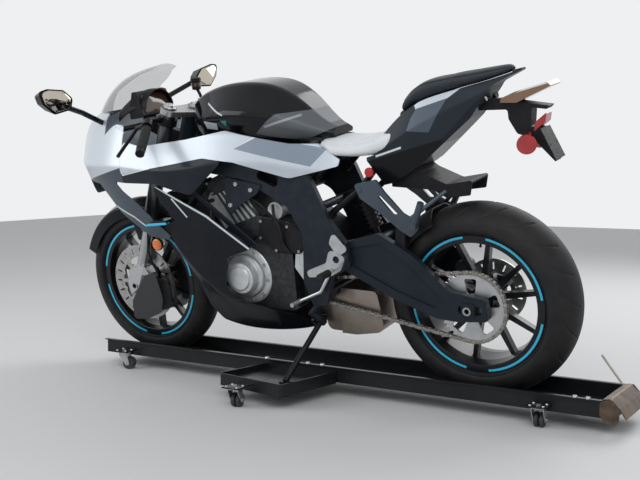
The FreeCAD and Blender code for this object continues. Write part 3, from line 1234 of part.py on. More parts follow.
for label, x, side, heading in CASTERS:
    piece("caster_fork_" + label, caster_fork(x, side, heading), DOLLY)
    piece("caster_wheels_" + label, caster_wheels(x, side, heading), DOLLY)


def say(name, point, axis, where):
    """Prints a point and an axis of the model in the row's frame."""
    spot, line = where.multVec(point), where.Rotation.multVec(axis)
    print("%s at %.4f %.4f %.4f along %.6f %.6f %.6f" % (name, *spot, *line))


say("steering", on_stem(size.upper_yoke_z), STEER_AXIS, BIKE)
say("front_wheel_spin", FRONT_AXLE, Vector(0, 1, 0), BIKE)
say("rear_wheel_spin", REAR_AXLE, Vector(0, 1, 0), BIKE)
say("side_stand_fold", stand_pivot, stand_axis, DOLLY)
for hole_side in (1, -1):
    say("plate_hole", PLATE_HOLE + Vector(0, hole_side * PLATE_HOLE_Y, 0), PLATE_NORMAL, BIKE)
print("origin used %.3f %.3f %.3f" % (HOME.x, HOME.y, HOME.z))
for label, x, side, heading in CASTERS:
    turn = Rotation(Vector(0, 0, 1), heading)
    centre = Vector(x, caster_centre(side), 0)
    hub = centre + turn.multVec(Vector(-size.caster_trail, 0, size.caster_r - size.ride_height))
    say("caster_swivel_" + label, centre, Vector(0, 0, 1), DOLLY)
    say("caster_roll_" + label, hub, turn.multVec(Vector(0, 1, 0)), DOLLY)


def finish():
    """Checks every object, prints the row's box and writes each sub-part to its file."""
    doc.recompute()
    for obj in doc.Objects:
        if "Invalid" in obj.State or "Error" in obj.State:
            raise RuntimeError("%s failed: %s" % (obj.Label, obj.State))
    os.makedirs("parts", exist_ok=True)
    whole = FreeCAD.BoundBox()
    for obj in pieces:
        shape = obj.Shape
        if shape.isNull() or not shape.isValid():
            raise RuntimeError("%s has no valid shape" % obj.Label)
        whole.add(shape.optimalBoundingBox(False))
        shape.exportStep("parts/%s.step" % obj.Label)
    print("box %.3f %.3f %.3f to %.3f %.3f %.3f" % (whole.XMin, whole.YMin, whole.ZMin,
                                                    whole.XMax, whole.YMax, whole.ZMax))


finish()
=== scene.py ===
"""Looks of a sport motorcycle that leans on its side stand in a low wheeled dolly."""
import json
import logging
import math
from dataclasses import dataclass, field, replace
from enum import Enum
from typing import Callable, Sequence

import bmesh
import bpy
import numpy as np
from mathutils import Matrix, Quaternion, Vector

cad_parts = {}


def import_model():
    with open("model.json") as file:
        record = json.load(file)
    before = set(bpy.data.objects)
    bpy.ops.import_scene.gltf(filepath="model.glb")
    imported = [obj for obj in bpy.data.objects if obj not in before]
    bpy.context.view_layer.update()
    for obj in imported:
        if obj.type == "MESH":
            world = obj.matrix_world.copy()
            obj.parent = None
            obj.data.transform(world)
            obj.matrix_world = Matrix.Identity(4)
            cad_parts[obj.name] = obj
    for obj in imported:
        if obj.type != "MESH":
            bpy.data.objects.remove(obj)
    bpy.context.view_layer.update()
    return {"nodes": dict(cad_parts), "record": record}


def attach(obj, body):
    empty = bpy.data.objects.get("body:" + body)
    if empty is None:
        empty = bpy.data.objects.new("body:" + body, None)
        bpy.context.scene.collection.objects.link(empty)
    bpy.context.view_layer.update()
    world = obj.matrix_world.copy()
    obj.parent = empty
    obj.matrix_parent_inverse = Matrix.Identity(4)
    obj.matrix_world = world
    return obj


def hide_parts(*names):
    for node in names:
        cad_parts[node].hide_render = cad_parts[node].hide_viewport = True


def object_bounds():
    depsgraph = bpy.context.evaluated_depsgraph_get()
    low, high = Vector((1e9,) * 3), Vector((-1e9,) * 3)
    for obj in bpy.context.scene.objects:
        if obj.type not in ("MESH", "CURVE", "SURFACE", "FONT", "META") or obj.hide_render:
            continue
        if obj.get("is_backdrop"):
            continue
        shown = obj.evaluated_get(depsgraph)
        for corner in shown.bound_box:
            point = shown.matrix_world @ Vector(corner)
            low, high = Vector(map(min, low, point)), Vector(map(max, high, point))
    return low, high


LOG = logging.getLogger("sport_bike")
Array = np.ndarray
Colour = tuple[float, float, float]

# Driving sizes of the CAD model, in its own millimetres and degrees
HOME = np.array([-609.84, -187.9, 60.0])
LEAN = math.radians(10.0)
RAKE = math.radians(21.5)
FRONT_AXLE = np.array([1400.0, 0.0, 300.0])
REAR_AXLE = np.array([0.0, 0.0, 315.0])
STEER_AXIS = np.array([-math.sin(RAKE), 0.0, math.cos(RAKE)])
TRAIL = 88.0
FORK_Y = 104.0
CHAIN_Y, CHAIN_PITCH, REAR_TEETH, DRIVE_TEETH = 104.5, 15.875, 45, 15
DRIVE = np.array([566.0, 0.0, 340.0])
LEFT = np.array([0.0, 1.0, 0.0])
UP = np.array([0.0, 0.0, 1.0])

# What every finish and every mesh shares: where patches start and end in the wide noise, how
# far roughness strays from its mean, bump depth in metres, how smooth a clear coat is, how
# much finer a brushed grain is along Z, and the angle above which an edge is drawn sharp
PATCH_EDGES = (0.35, 0.68)
ROUGH_SPREAD = 0.2
BUMP_DEPTH, COAT_ROUGH, BRUSH_STRETCH = 0.0008, 0.06, 14.0
SHARP_ANGLE = math.radians(38)


def bike(points: Sequence) -> Array:
    """Turn upright bike millimetres into row metres: a turn of ten degrees about X, then HOME.

    Args:
        points: x, y, z in the last axis; x forward from the rear axle, y left, z up.

    Returns:
        An array of the same shape in the row's frame.
    """
    p = np.asarray(points, float)
    c, s = math.cos(LEAN), math.sin(LEAN)
    x, y, z = p[..., 0], p[..., 1], p[..., 2]
    return (np.stack([x, y * c + z * s, z * c - y * s], -1) + HOME) / 1000.0


def level(points: Sequence) -> Array:
    """Turn level dolly millimetres into row metres by adding HOME.

    Args:
        points: x, y, z in the last axis.

    Returns:
        An array of the same shape in the row's frame.
    """
    return (np.asarray(points, float) + HOME) / 1000.0


def on_fork(z: float, side: float = 1.0) -> Array:
    """Return the point of a fork leg's line at a height, on the left (1) or the right (-1)."""
    return np.array([FRONT_AXLE[0] - (z - FRONT_AXLE[2]) * math.tan(RAKE), side * FORK_Y, z])


def on_stem(z: float) -> Array:
    """Return the point of the steering axis at a height."""
    return np.array([FRONT_AXLE[0] + TRAIL - z * math.tan(RAKE), 0.0, z])


class Body(str, Enum):
    """The bodies of the part that scene pieces ride on."""

    CHASSIS = "chassis"
    STEERING = "steering"
    FRONT_WHEEL = "front_wheel"
    REAR_WHEEL = "rear_wheel"


class Grain(Enum):
    """How a finish varies over its surface; the value is the fine noise's patches per metre."""

    PAINT = 900.0
    CAST = 1400.0
    BRUSHED = 500.0
    MOULDED = 1800.0
    HIDE = 700.0
    TYRE = 1000.0


@dataclass(frozen=True)
class Mark:
    """A painted area: a convex outline on the bike's side view, the same on both sides.

    Some are paint or stripes, some are painted highlights and painted shade.

    Attributes:
        colour: its colour, linear.
        outline: corners x, z in bike millimetres.
        rough: roughness inside it.
        metal: metallic share inside it.
        edge: half width of its border in millimetres.
        limits: more planes in bike millimetres, as normal x, y, z and the least distance along it.
    """

    colour: Colour
    outline: tuple[tuple[float, float], ...]
    rough: float = 0.3
    metal: float = 0.0
    edge: float = 0.6
    limits: tuple[tuple[float, float, float, float], ...] = ()

    def planes(self) -> list[tuple[Array, float]]:
        """Find the row-frame plane of each edge: normal in 1/m and offset in mm, positive inside.

        Returns:
            Normals and offsets, one pair for each edge of the outline.
        """
        corners = np.array(self.outline, float)
        middle = corners.mean(0)
        found = []
        for start, end in zip(corners, np.roll(corners, -1, 0)):
            across = np.array([start[1] - end[1], end[0] - start[0]])
            across /= np.linalg.norm(across)
            across *= np.sign(across @ (middle - start))
            found.append((across[0], 0.0, across[1], float(across @ start)))
        turned = []
        for x, y, z, least in found + list(self.limits):
            c, s = math.cos(LEAN), math.sin(LEAN)
            normal = np.array([x, y * c + z * s, z * c - y * s])
            turned.append((normal * 1000.0, least + float(normal @ HOME)))
        return turned

    def mask(self, tree: bpy.types.NodeTree, place: bpy.types.NodeSocket) -> bpy.types.NodeSocket:
        """Build the nodes that give 1 inside the outline and 0 outside.

        Args:
            tree: the material's node tree.
            place: the Object coordinate output.

        Returns:
            The socket that carries the mask.
        """
        depth = None
        for normal, offset in self.planes():
            along = tree.nodes.new("ShaderNodeVectorMath")
            along.operation = "DOT_PRODUCT"
            along.inputs[1].default_value = tuple(normal)
            tree.links.new(place, along.inputs[0])
            less = tree.nodes.new("ShaderNodeMath")
            less.operation = "SUBTRACT"
            less.inputs[1].default_value = offset
            tree.links.new(along.outputs["Value"], less.inputs[0])
            if depth is None:
                depth = less.outputs[0]
                continue
            least = tree.nodes.new("ShaderNodeMath")
            least.operation = "MINIMUM"
            tree.links.new(depth, least.inputs[0])
            tree.links.new(less.outputs[0], least.inputs[1])
            depth = least.outputs[0]
        ramp = tree.nodes.new("ShaderNodeMapRange")
        ramp.inputs["From Min"].default_value = -self.edge
        ramp.inputs["From Max"].default_value = self.edge
        tree.links.new(depth, ramp.inputs["Value"])
        return ramp.outputs["Result"]


@dataclass(frozen=True)
class Finish:
    """One surface finish: shader numbers, the grain that breaks it up and its painted marks.

    Attributes:
        name: the material's name.
        colour: main colour, linear.
        second: colour it drifts towards in patches.
        rough: mean roughness.
        metal: metallic share.
        coat: clear coat weight.
        grain: kind of fine variation.
        scale: patches per metre.
        bump: bump strength.
        alpha: opacity.
        gloss: specular level.
        marks: painted areas, later ones over earlier ones.
    """

    name: str
    colour: Colour
    second: Colour
    rough: float
    metal: float = 0.0
    coat: float = 0.0
    grain: Grain = Grain.PAINT
    scale: float = 40.0
    bump: float = 0.05
    alpha: float = 1.0
    gloss: float = 0.5
    marks: tuple[Mark, ...] = ()

    def build(self) -> bpy.types.Material:
        """Make the material: patches mix two colours, finer noise drives roughness and bump.

        Returns:
            The Blender material.
        """
        material = bpy.data.materials.new(self.name)
        material.use_nodes = True
        tree = material.node_tree
        shader = tree.nodes["Principled BSDF"]
        place = tree.nodes.new("ShaderNodeTexCoord").outputs["Object"]
        wide = self._noise(tree, place, self.scale, (1.0, 1.0, 1.0))
        stretch = (1.0, 1.0, BRUSH_STRETCH) if self.grain is Grain.BRUSHED else (1.0, 1.0, 1.0)
        fine = self._noise(tree, place, self.grain.value, stretch)
        patch = self._span(tree, wide, *PATCH_EDGES, 0.0, 1.0)
        colour = self._mix(tree, patch, (*self.colour, 1.0), (*self.second, 1.0))
        rough = self._span(tree, fine, 0.0, 1.0, self.rough * (1.0 - ROUGH_SPREAD),
                           min(self.rough * (1.0 + ROUGH_SPREAD), 1.0))
        metal = None
        for mark in self.marks:
            mask = mark.mask(tree, place)
            colour = self._mix(tree, mask, colour, (*mark.colour, 1.0))
            rough = self._mix(tree, mask, rough, mark.rough)
            metal = self._mix(tree, mask, self.metal if metal is None else metal, mark.metal)
        tree.links.new(colour, shader.inputs["Base Color"])
        tree.links.new(rough, shader.inputs["Roughness"])
        shader.inputs["Metallic"].default_value = self.metal
        if metal is not None:
            tree.links.new(metal, shader.inputs["Metallic"])
        bump = tree.nodes.new("ShaderNodeBump")
        bump.inputs["Strength"].default_value = self.bump
        bump.inputs["Distance"].default_value = BUMP_DEPTH
        tree.links.new(fine, bump.inputs["Height"])
        tree.links.new(bump.outputs["Normal"], shader.inputs["Normal"])
        shader.inputs["Coat Weight"].default_value = self.coat
        shader.inputs["Coat Roughness"].default_value = COAT_ROUGH
        shader.inputs["Alpha"].default_value = self.alpha
        shader.inputs["Specular IOR Level"].default_value = self.gloss
        return material

    @staticmethod
    def _noise(tree: bpy.types.NodeTree, place: bpy.types.NodeSocket, scale: float,
               stretch: tuple[float, float, float]) -> bpy.types.NodeSocket:
        """Return a noise value over stretched Object coordinates.

        Args:
            tree: the material's node tree.
            place: socket of the coordinates.
            scale: noise cells in a metre.
            stretch: factors along X, Y and Z.

        Returns:
            The noise value's socket, 0 to 1.
        """
        mapping = tree.nodes.new("ShaderNodeMapping")
        mapping.inputs["Scale"].default_value = stretch
        tree.links.new(place, mapping.inputs["Vector"])
        noise = tree.nodes.new("ShaderNodeTexNoise")
        noise.inputs["Scale"].default_value = scale
        noise.inputs["Detail"].default_value = 4.0
        tree.links.new(mapping.outputs["Vector"], noise.inputs["Vector"])
        return noise.outputs["Fac"]

    @staticmethod
    def _span(tree: bpy.types.NodeTree, value: bpy.types.NodeSocket, low: float, high: float,
              to_low: float, to_high: float) -> bpy.types.NodeSocket:
        """Return a value mapped from one range to another.

        Args:
            tree: the material's node tree.
            value: socket of the value.
            low: start of the first range.
            high: end of the first range.
            to_low: start of the second range.
            to_high: end of the second range.

        Returns:
            The mapped value's socket.
        """
        span = tree.nodes.new("ShaderNodeMapRange")
        ends = (("From Min", low), ("From Max", high), ("To Min", to_low), ("To Max", to_high))
        for label, number in ends:
            span.inputs[label].default_value = number
        tree.links.new(value, span.inputs["Value"])
        return span.outputs["Result"]

    @staticmethod
    def _mix(tree: bpy.types.NodeTree, share: bpy.types.NodeSocket, first: object,
             second: object) -> bpy.types.NodeSocket:
        """Mix two colours or two numbers; each is a constant or a socket.

        Args:
            tree: the material's node tree.
            share: how much of the second.
            first: constant or socket.
            second: a constant, whose kind says what is mixed.

        Returns:
            The mixed socket.
        """
        node = tree.nodes.new("ShaderNodeMix")
        node.data_type = "RGBA" if isinstance(second, tuple) else "FLOAT"
        kind = "RGBA" if node.data_type == "RGBA" else "VALUE"
        sockets = [item for item in node.inputs if item.type == kind and item.name in ("A", "B")]
        tree.links.new(share, node.inputs["Factor"])
        for socket, value in zip(sockets, (first, second)):
            if isinstance(value, bpy.types.NodeSocket):
                tree.links.new(value, socket)
            else:
                socket.default_value = value
        return [item for item in node.outputs if item.type == kind][0]


# Linear colours that finishes and marks share
SILVER, GREY_BLUE, BLACK = (0.60, 0.66, 0.72), (0.055, 0.075, 0.10), (0.007, 0.008, 0.010)
# The pale colour is a painted highlight, laid in thin lines along edges of the nose, tank and belly
CYAN, TEAL, EDGE_HIGHLIGHT = (0.02, 0.52, 0.80), (0.02, 0.26, 0.27), (0.62, 0.68, 0.74)
DEEP, GLINT = (0.014, 0.018, 0.024), (0.80, 0.84, 0.88)

# Painted areas of the bodywork, as outlines on the bike's side view; besides paint and stripes,
# some are painted highlights and painted shade
NOSE_MARKS = (
    Mark(SILVER, ((1700, 690), (1596, 710), (1289, 785), (1289, 1100), (1700, 1100)), 0.28, 0.25),
    # Painted shade: the nose's inside, drawn black for the shade that falls in it
    Mark(BLACK, ((1270, 850), (1570, 850), (1570, 1100), (1270, 1100)), 0.4,
         limits=((-1, -1.2, 0, -1556), (-1, 1.2, 0, -1556), (0, 1, 0, -160), (0, -1, 0, -160))),
    # Painted highlights: thin pale lines along the nose's lower edges
    Mark(EDGE_HIGHLIGHT, ((1477, 655), (1306, 591), (1308, 584), (1479, 648))),
    Mark(EDGE_HIGHLIGHT, ((1306, 591), (1257, 558), (1260, 552), (1308, 584))))
SIDE_MARKS = (
    Mark((0.22, 0.27, 0.33), ((795, 844), (711, 880), (466, 831), (518, 776)), 0.34, 0.3),
    Mark(GLINT, ((809, 837), (786, 847), (694, 883), (715, 883)), 0.3))
TANK_MARKS = (
    # Painted highlight: a thin pale line along the tank's top edge
    Mark(EDGE_HIGHLIGHT, ((950, 994), (851, 956), (852, 951), (951, 989))),
    Mark(TEAL, ((867, 935), (837, 935), (849, 914))),
    Mark((0.12, 0.13, 0.14), ((735, 885), (645, 950), (495, 952), (456, 896), (573, 852)), 0.5),
    Mark((0.34, 0.37, 0.40), ((690, 905), (575, 935), (577, 943), (692, 912)), 0.4),
    Mark((0.50, 0.55, 0.60), ((954, 933), (890, 925), (898, 901), (954, 905)), 0.3))
TAIL_MARKS = (
    Mark(SILVER, ((-46, 1040), (84, 1016), (158, 956), (150, 940), (48, 974)), 0.3, 0.25),
    Mark((0.10, 0.125, 0.155), ((150, 946), (168, 918), (180, 880), (113, 872), (85, 916), (50, 974)),
         0.36, 0.3),
    Mark(DEEP, ((-171, 1057), (-30, 954), (80, 846), (80, 500), (-400, 500), (-400, 1057)), 0.3),
    Mark(BLACK, ((78, 848), (340, 781), (340, 500), (78, 500)), 0.2),
    Mark(GLINT, ((291, 799), (206, 824), (205, 831), (290, 806)), 0.3))
BELLY_MARKS = (
    # Painted highlights: thin pale lines along the belly pan's edges
    Mark(EDGE_HIGHLIGHT, ((1136, 724), (926, 616), (929, 609), (1139, 717))),
    Mark(EDGE_HIGHLIGHT, ((926, 616), (766, 500), (770, 494), (929, 609))),
    Mark(EDGE_HIGHLIGHT, ((1064, 676), (1006, 609), (1010, 605), (1069, 673))),
    Mark(CYAN, ((1213, 573), (1085, 590), (1084, 583), (1211, 566))))
FORK_MARKS = (
    Mark((0.44, 0.45, 0.46), ((1200, 345), (1450, 345), (1450, 519), (1200, 519)), 0.25, 0.9),
    Mark((0.50, 0.51, 0.52), ((1383, 294), (1440, 250), (1450, 345), (1340, 390)), 0.3, 0.9),
    Mark((0.02, 0.02, 0.022), ((1343, 345), (1290, 360), (1267, 257), (1282, 200), (1353, 169),
                               (1427, 163), (1424, 237), (1383, 294)), 0.4))
LAMP_MARKS = (
    Mark((0.20, 0.11, 0.06), ((-100, 940), (-100, 970), (-153, 990), (-270, 1012), (-275, 990),
                              (-156, 944)), 0.15),
    Mark((0.7, 0.7, 0.68), ((-111, 960), (-153, 977), (-253, 1001), (-253, 1010), (-153, 985),
                            (-111, 968)), 0.2))

# Each finish: name, main and second colour, roughness, metal share and coat
FINISHES: dict[str, Finish] = {finish.name: finish for finish in (
    Finish("pearl_silver", SILVER, (0.55, 0.61, 0.68), 0.30, 0.25, 0.3, scale=6, bump=0.02),
    Finish("satin_blue_grey", GREY_BLUE, (0.046, 0.062, 0.082), 0.36, 0.3, 0.2, scale=8, bump=0.03,
           gloss=0.4),
    Finish("satin_arm", (0.018, 0.024, 0.032), (0.014, 0.019, 0.026), 0.42, 0.2, 0.0, scale=10,
           gloss=0.2),
    Finish("gloss_black", (0.005, 0.006, 0.009), (0.008, 0.010, 0.014), 0.2, 0.0, 0.12, scale=9,
           bump=0.01, gloss=0.15),
    Finish("tank_black", (0.004, 0.004, 0.005), (0.006, 0.007, 0.009), 0.12, 0.0, 0.2, scale=9,
           bump=0.01, gloss=0.15),
    Finish("black_plastic", (0.008, 0.008, 0.010), (0.012, 0.012, 0.014), 0.5, grain=Grain.MOULDED,
           bump=0.25, gloss=0.2),
    Finish("dark_duct", (0.008, 0.012, 0.018), (0.013, 0.018, 0.026), 0.3, 0.0, 0.1, scale=12,
           bump=0.03, gloss=0.18),
    Finish("seat_white", (0.80, 0.82, 0.84), (0.74, 0.77, 0.80), 0.55, grain=Grain.HIDE, scale=18,
           bump=0.3, gloss=0.35),
    Finish("seat_blue_grey", (0.014, 0.018, 0.024), (0.020, 0.026, 0.034), 0.5, grain=Grain.HIDE,
           scale=18, bump=0.4, gloss=0.35),
    Finish("engine_metal", (0.034, 0.036, 0.039), (0.060, 0.062, 0.066), 0.5, 0.8, grain=Grain.CAST,
           scale=60, bump=0.4),
    Finish("cover_metal", (0.62, 0.64, 0.65), (0.50, 0.52, 0.53), 0.42, 0.55, grain=Grain.CAST,
           scale=50, bump=0.2),
    Finish("exhaust_steel", (0.36, 0.31, 0.27), (0.24, 0.20, 0.17), 0.34, 0.95, grain=Grain.BRUSHED,
           scale=14, bump=0.1),
    Finish("pale_metal", (0.56, 0.57, 0.58), (0.47, 0.48, 0.49), 0.33, 0.9, grain=Grain.BRUSHED,
           bump=0.08),
    Finish("frame_grey", (0.017, 0.022, 0.030), (0.024, 0.030, 0.040), 0.40, 0.3, grain=Grain.CAST,
           scale=25, bump=0.12, gloss=0.2),
    Finish("fork_metal", (0.10, 0.105, 0.11), (0.13, 0.135, 0.14), 0.30, 0.85, grain=Grain.BRUSHED,
           scale=30),
    Finish("yoke_metal", (0.50, 0.51, 0.52), (0.42, 0.43, 0.44), 0.34, 0.9, grain=Grain.CAST, bump=0.1),
    Finish("axle_steel", (0.46, 0.46, 0.46), (0.38, 0.38, 0.38), 0.3, 1.0, grain=Grain.BRUSHED,
           bump=0.06),
    Finish("disc_steel", (0.44, 0.44, 0.43), (0.33, 0.33, 0.32), 0.32, 1.0, grain=Grain.BRUSHED,
           scale=50, bump=0.08),
    Finish("caliper_grey", (0.055, 0.057, 0.06), (0.07, 0.072, 0.076), 0.42, 0.5, grain=Grain.CAST,
           bump=0.15),
    Finish("rim_dark", (0.007, 0.008, 0.010), (0.011, 0.012, 0.015), 0.3, 0.3, 0.2, scale=20, bump=0.03,
           gloss=0.3),
    Finish("tyre", (0.011, 0.011, 0.012), (0.017, 0.017, 0.018), 0.6, grain=Grain.TYRE, scale=30,
           bump=0.35, gloss=0.25),
    Finish("grip_rubber", (0.010, 0.010, 0.011), (0.016, 0.016, 0.017), 0.7, grain=Grain.MOULDED,
           bump=0.5, gloss=0.3),
    Finish("black_metal", (0.008, 0.008, 0.010), (0.012, 0.012, 0.015), 0.34, 0.2, grain=Grain.CAST,
           bump=0.08, gloss=0.2),
    Finish("lamp_clear", (0.75, 0.80, 0.85), (0.70, 0.76, 0.82), 0.08, 0.0, 0.5, alpha=0.6, bump=0.02),
    Finish("screen_clear", (0.030, 0.036, 0.040), (0.024, 0.030, 0.034), 0.05, 0.0, 0.0, alpha=0.22,
           bump=0.0, gloss=0.3),
    Finish("lamp_red", (0.42, 0.012, 0.012), (0.34, 0.008, 0.010), 0.16, 0.0, 0.7, grain=Grain.MOULDED,
           bump=0.3),
    Finish("lamp_orange", (0.85, 0.20, 0.01), (0.75, 0.15, 0.01), 0.16, 0.0, 0.7, grain=Grain.MOULDED,
           bump=0.3),
    Finish("radiator_black", (0.012, 0.012, 0.014), (0.020, 0.020, 0.022), 0.6, 0.3, grain=Grain.CAST,
           bump=0.5, gloss=0.3),
    Finish("chain_steel", (0.36, 0.345, 0.32), (0.22, 0.21, 0.20), 0.36, 0.95, grain=Grain.CAST,
           scale=90, bump=0.2),
    Finish("dolly_black", (0.008, 0.009, 0.011), (0.012, 0.014, 0.017), 0.32, 0.1, 0.1, Grain.MOULDED,
           8, 0.12, gloss=0.25),
    Finish("ramp_plate", (0.16, 0.105, 0.07), (0.06, 0.045, 0.035), 0.42, 0.6, grain=Grain.CAST,
           scale=25, bump=0.25),
    Finish("zinc_steel", (0.50, 0.51, 0.50), (0.38, 0.39, 0.39), 0.34, 0.95, grain=Grain.CAST, scale=70,
           bump=0.12),
    Finish("caster_rubber", (0.022, 0.022, 0.024), (0.036, 0.036, 0.038), 0.6, grain=Grain.MOULDED,
           bump=0.2),
    Finish("pale_rod", (0.62, 0.58, 0.48), (0.52, 0.49, 0.41), 0.45, bump=0.08),
    Finish("cyan_stripe", CYAN, (0.02, 0.47, 0.74), 0.3, 0.0, 0.4, scale=20, bump=0.02),
    Finish("mirror_glass", (0.55, 0.50, 0.42), (0.52, 0.47, 0.40), 0.04, 1.0, scale=6, bump=0.0),
    Finish("smoked_glass", (0.10, 0.055, 0.035), (0.08, 0.045, 0.03), 0.08, 0.0, 0.8, scale=10,
           bump=0.0),
    Finish("satin_dusk", (0.026, 0.034, 0.044), (0.022, 0.029, 0.038), 0.38, scale=8, bump=0.02,
           gloss=0.2),
    Finish("red_knob", (0.50, 0.02, 0.02), (0.42, 0.015, 0.015), 0.3, scale=60),
)}
# CAD nodes whose finish isn't their slot's, and those with painted areas
OTHER_FINISH = {"front_mudguard": "gloss_black", "passenger_rests": "satin_blue_grey",
                "tail_cowl": "satin_dusk"}
MARKED = {"nose_fairing": NOSE_MARKS, "side_fairings": SIDE_MARKS, "tank": TANK_MARKS,
          "tail_cowl": TAIL_MARKS, "belly_pan": BELLY_MARKS, "fork_legs": FORK_MARKS,
          "rear_lamps": LAMP_MARKS}


@dataclass
class Paintshop:
    """Builds each finish once and puts it on pieces and CAD nodes."""

    made: dict[str, bpy.types.Material] = field(default_factory=dict)

    def of(self, slot: str, node: str = "") -> bpy.types.Material:
        """Return a finish's material, built on first use, with a CAD node's marks if it has some.

        Args:
            slot: the finish's name.
            node: the CAD node or piece that wears it.

        Returns:
            The material.
        """
        marks = MARKED.get(node, ())
        key = slot + "_on_" + node if marks else slot
        if key not in self.made:
            self.made[key] = replace(FINISHES[slot], name=key, marks=marks).build()
        return self.made[key]

    def dress(self, obj: bpy.types.Object, slot: str) -> None:
        """Give a CAD node or a piece its material in every slot of its mesh.

        Args:
            obj: the node or piece.
            slot: the finish's name.
        """
        material = self.of(OTHER_FINISH.get(obj.name, slot), obj.name)
        if not obj.data.materials:
            obj.data.materials.append(material)
        for index in range(len(obj.data.materials)):
            obj.data.materials[index] = material


# Surfaces: functions of two parameters on a lattice of points

def lathe(profile: Sequence, steps: int = 48, start: float = 0.0, end: float = 360.0) -> Array:
    """Turn a profile of (along, radius) about the Y axis: x = r sin a, y = along, z = r cos a.

    Args:
        profile: rows of distance along the axis and radius.
        steps: rows of the lattice round the axis.
        start: first angle in degrees.
        end: last angle in degrees; a full turn leaves out the last row.

    Returns:
        A lattice (steps, rows, 3) about the origin.
    """
    rows = np.asarray(profile, float)
    full = end - start >= 360.0
    angle = np.radians(np.linspace(start, end, steps, endpoint=not full))[:, None]
    along, radius = rows[None, :, 0], rows[None, :, 1]
    ring = np.broadcast_arrays(radius * np.sin(angle), along + 0 * angle, radius * np.cos(angle))
    return np.stack(ring, -1)


def aim(lattice: Array, centre: Sequence, axis: Sequence) -> Array:
    """Turn a lattice so that its Y axis follows a direction, then move it to a point.

    Args:
        lattice: points about the origin.
        centre: where the origin goes.
        axis: the direction that Y takes.

    Returns:
        The placed lattice.
    """
    y = np.asarray(axis, float) / np.linalg.norm(axis)
    side = np.cross(y, UP if abs(y[2]) < 0.9 else LEFT)
    side /= np.linalg.norm(side)
    return lattice @ np.stack([side, y, np.cross(side, y)]) + np.asarray(centre, float)


def spline(points: Sequence, count: int) -> Array:
    """Draw a smooth Catmull-Rom line through given points.

    Args:
        points: the points it passes.
        count: how many points come back.

    Returns:
        The line's points.
    """
    p = np.asarray(points, float)
    p = np.vstack([2 * p[0] - p[1], p, 2 * p[-1] - p[-2]])
    t = np.linspace(0, len(p) - 3 - 1e-9, count)
    i, f = t.astype(int), (t % 1)[:, None]
    a, b, c, d = p[i], p[i + 1], p[i + 2], p[i + 3]
    square, cube = 2 * a - 5 * b + 4 * c - d, 3 * b - a - 3 * c + d
    return 0.5 * (2 * b + (c - a) * f + square * f ** 2 + cube * f ** 3)


def sweep(path: Array, radius: float, sides: int = 12, flat: float = 1.0) -> Array:
    """Carry a circle along a path: centre plus radius times cos a across and sin a up.

    Args:
        path: points of the centre line.
        radius: the circle's radius.
        sides: points round it.
        flat: height of the circle as a share of its width.

    Returns:
        A lattice (points, sides, 3).
    """
    p = np.asarray(path, float)
    run = np.gradient(p, axis=0)
    run /= np.linalg.norm(run, axis=1)[:, None]
    lead = UP if np.abs(run[:, 2]).max() < 0.97 else LEFT
    across = np.cross(run, lead)
    across /= np.linalg.norm(across, axis=1)[:, None]
    up = np.cross(across, run)
    angle = np.linspace(0, 2 * np.pi, sides, endpoint=False)[None, :, None]
    return p[:, None] + radius * (np.cos(angle) * across[:, None] + flat * np.sin(angle) * up[:, None])


def rounded(rows: Sequence, arc: int = 5) -> Array:
    """Round the corners of an outline with tangent arcs.

    Args:
        rows: corners as first coordinate, second coordinate, radius.
        arc: points on each arc.

    Returns:
        The closed outline's points (n, 2).
    """
    r = np.asarray(rows, float)
    here, radius = r[:, :2], r[:, 2:3]
    back, ahead = np.roll(here, 1, 0) - here, np.roll(here, -1, 0) - here
    back /= np.linalg.norm(back, axis=1)[:, None]
    ahead /= np.linalg.norm(ahead, axis=1)[:, None]
    half = np.arccos(np.clip((back * ahead).sum(1), -1, 1))[:, None] / 2
    reach = radius / np.tan(half)
    bisector = (back + ahead) / np.linalg.norm(back + ahead, axis=1)[:, None]
    middle = here + bisector * radius / np.sin(half)
    first, last = here + back * reach, here + ahead * reach
    t = np.linspace(0, 1, arc)[None, :, None]
    spoke = (first - middle)[:, None] * (1 - t) + (last - middle)[:, None] * t
    spoke *= radius[:, None] / np.maximum(np.linalg.norm(spoke, axis=2), 1e-9)[..., None]
    return (middle[:, None] + spoke).reshape(-1, 2)


def slab(rows: Sequence, low: float, high: float, bevel: float = 1.0) -> Array:
    """Raise an outline of x and z along y, with both rims drawn in by a bevel.

    Args:
        rows: corners as x, z, corner radius.
        low: y where it starts.
        high: y where it ends.
        bevel: width of the bevel.

    Returns:
        A lattice (4, points, 3), closed round the outline.
    """
    edge = rounded(rows)
    run = np.roll(edge, -1, 0) - np.roll(edge, 1, 0)
    length = np.maximum(np.linalg.norm(run, axis=1), 1e-9)[:, None]
    inward = np.stack([-run[:, 1], run[:, 0]], -1) / length
    area = np.sum(edge[:, 0] * np.roll(edge[:, 1], -1) - np.roll(edge[:, 0], -1) * edge[:, 1])
    small = edge + inward * bevel * np.sign(area)
    levels = ((small, low), (edge, low + bevel), (edge, high - bevel), (small, high))
    return np.stack([np.stack([e[:, 0], np.full(len(e), y), e[:, 1]], -1) for e, y in levels])


def squircle(across: Array, power: float = 0.62) -> tuple[Array, Array]:
    """Return cosine and sine of angles drawn towards a square by a power of their size."""
    c, s = np.cos(across), np.sin(across)
    return np.sign(c) * np.abs(c) ** power, np.sign(s) * np.abs(s) ** power


def flip(lattice: Array) -> Array:
    """Mirror points to the bike's other side."""
    return lattice * np.array([1.0, -1.0, 1.0])


def both(lattice: Array) -> Array:
    """Stack a left lattice and its mirror image as two copies."""
    return np.stack([lattice, flip(lattice)])


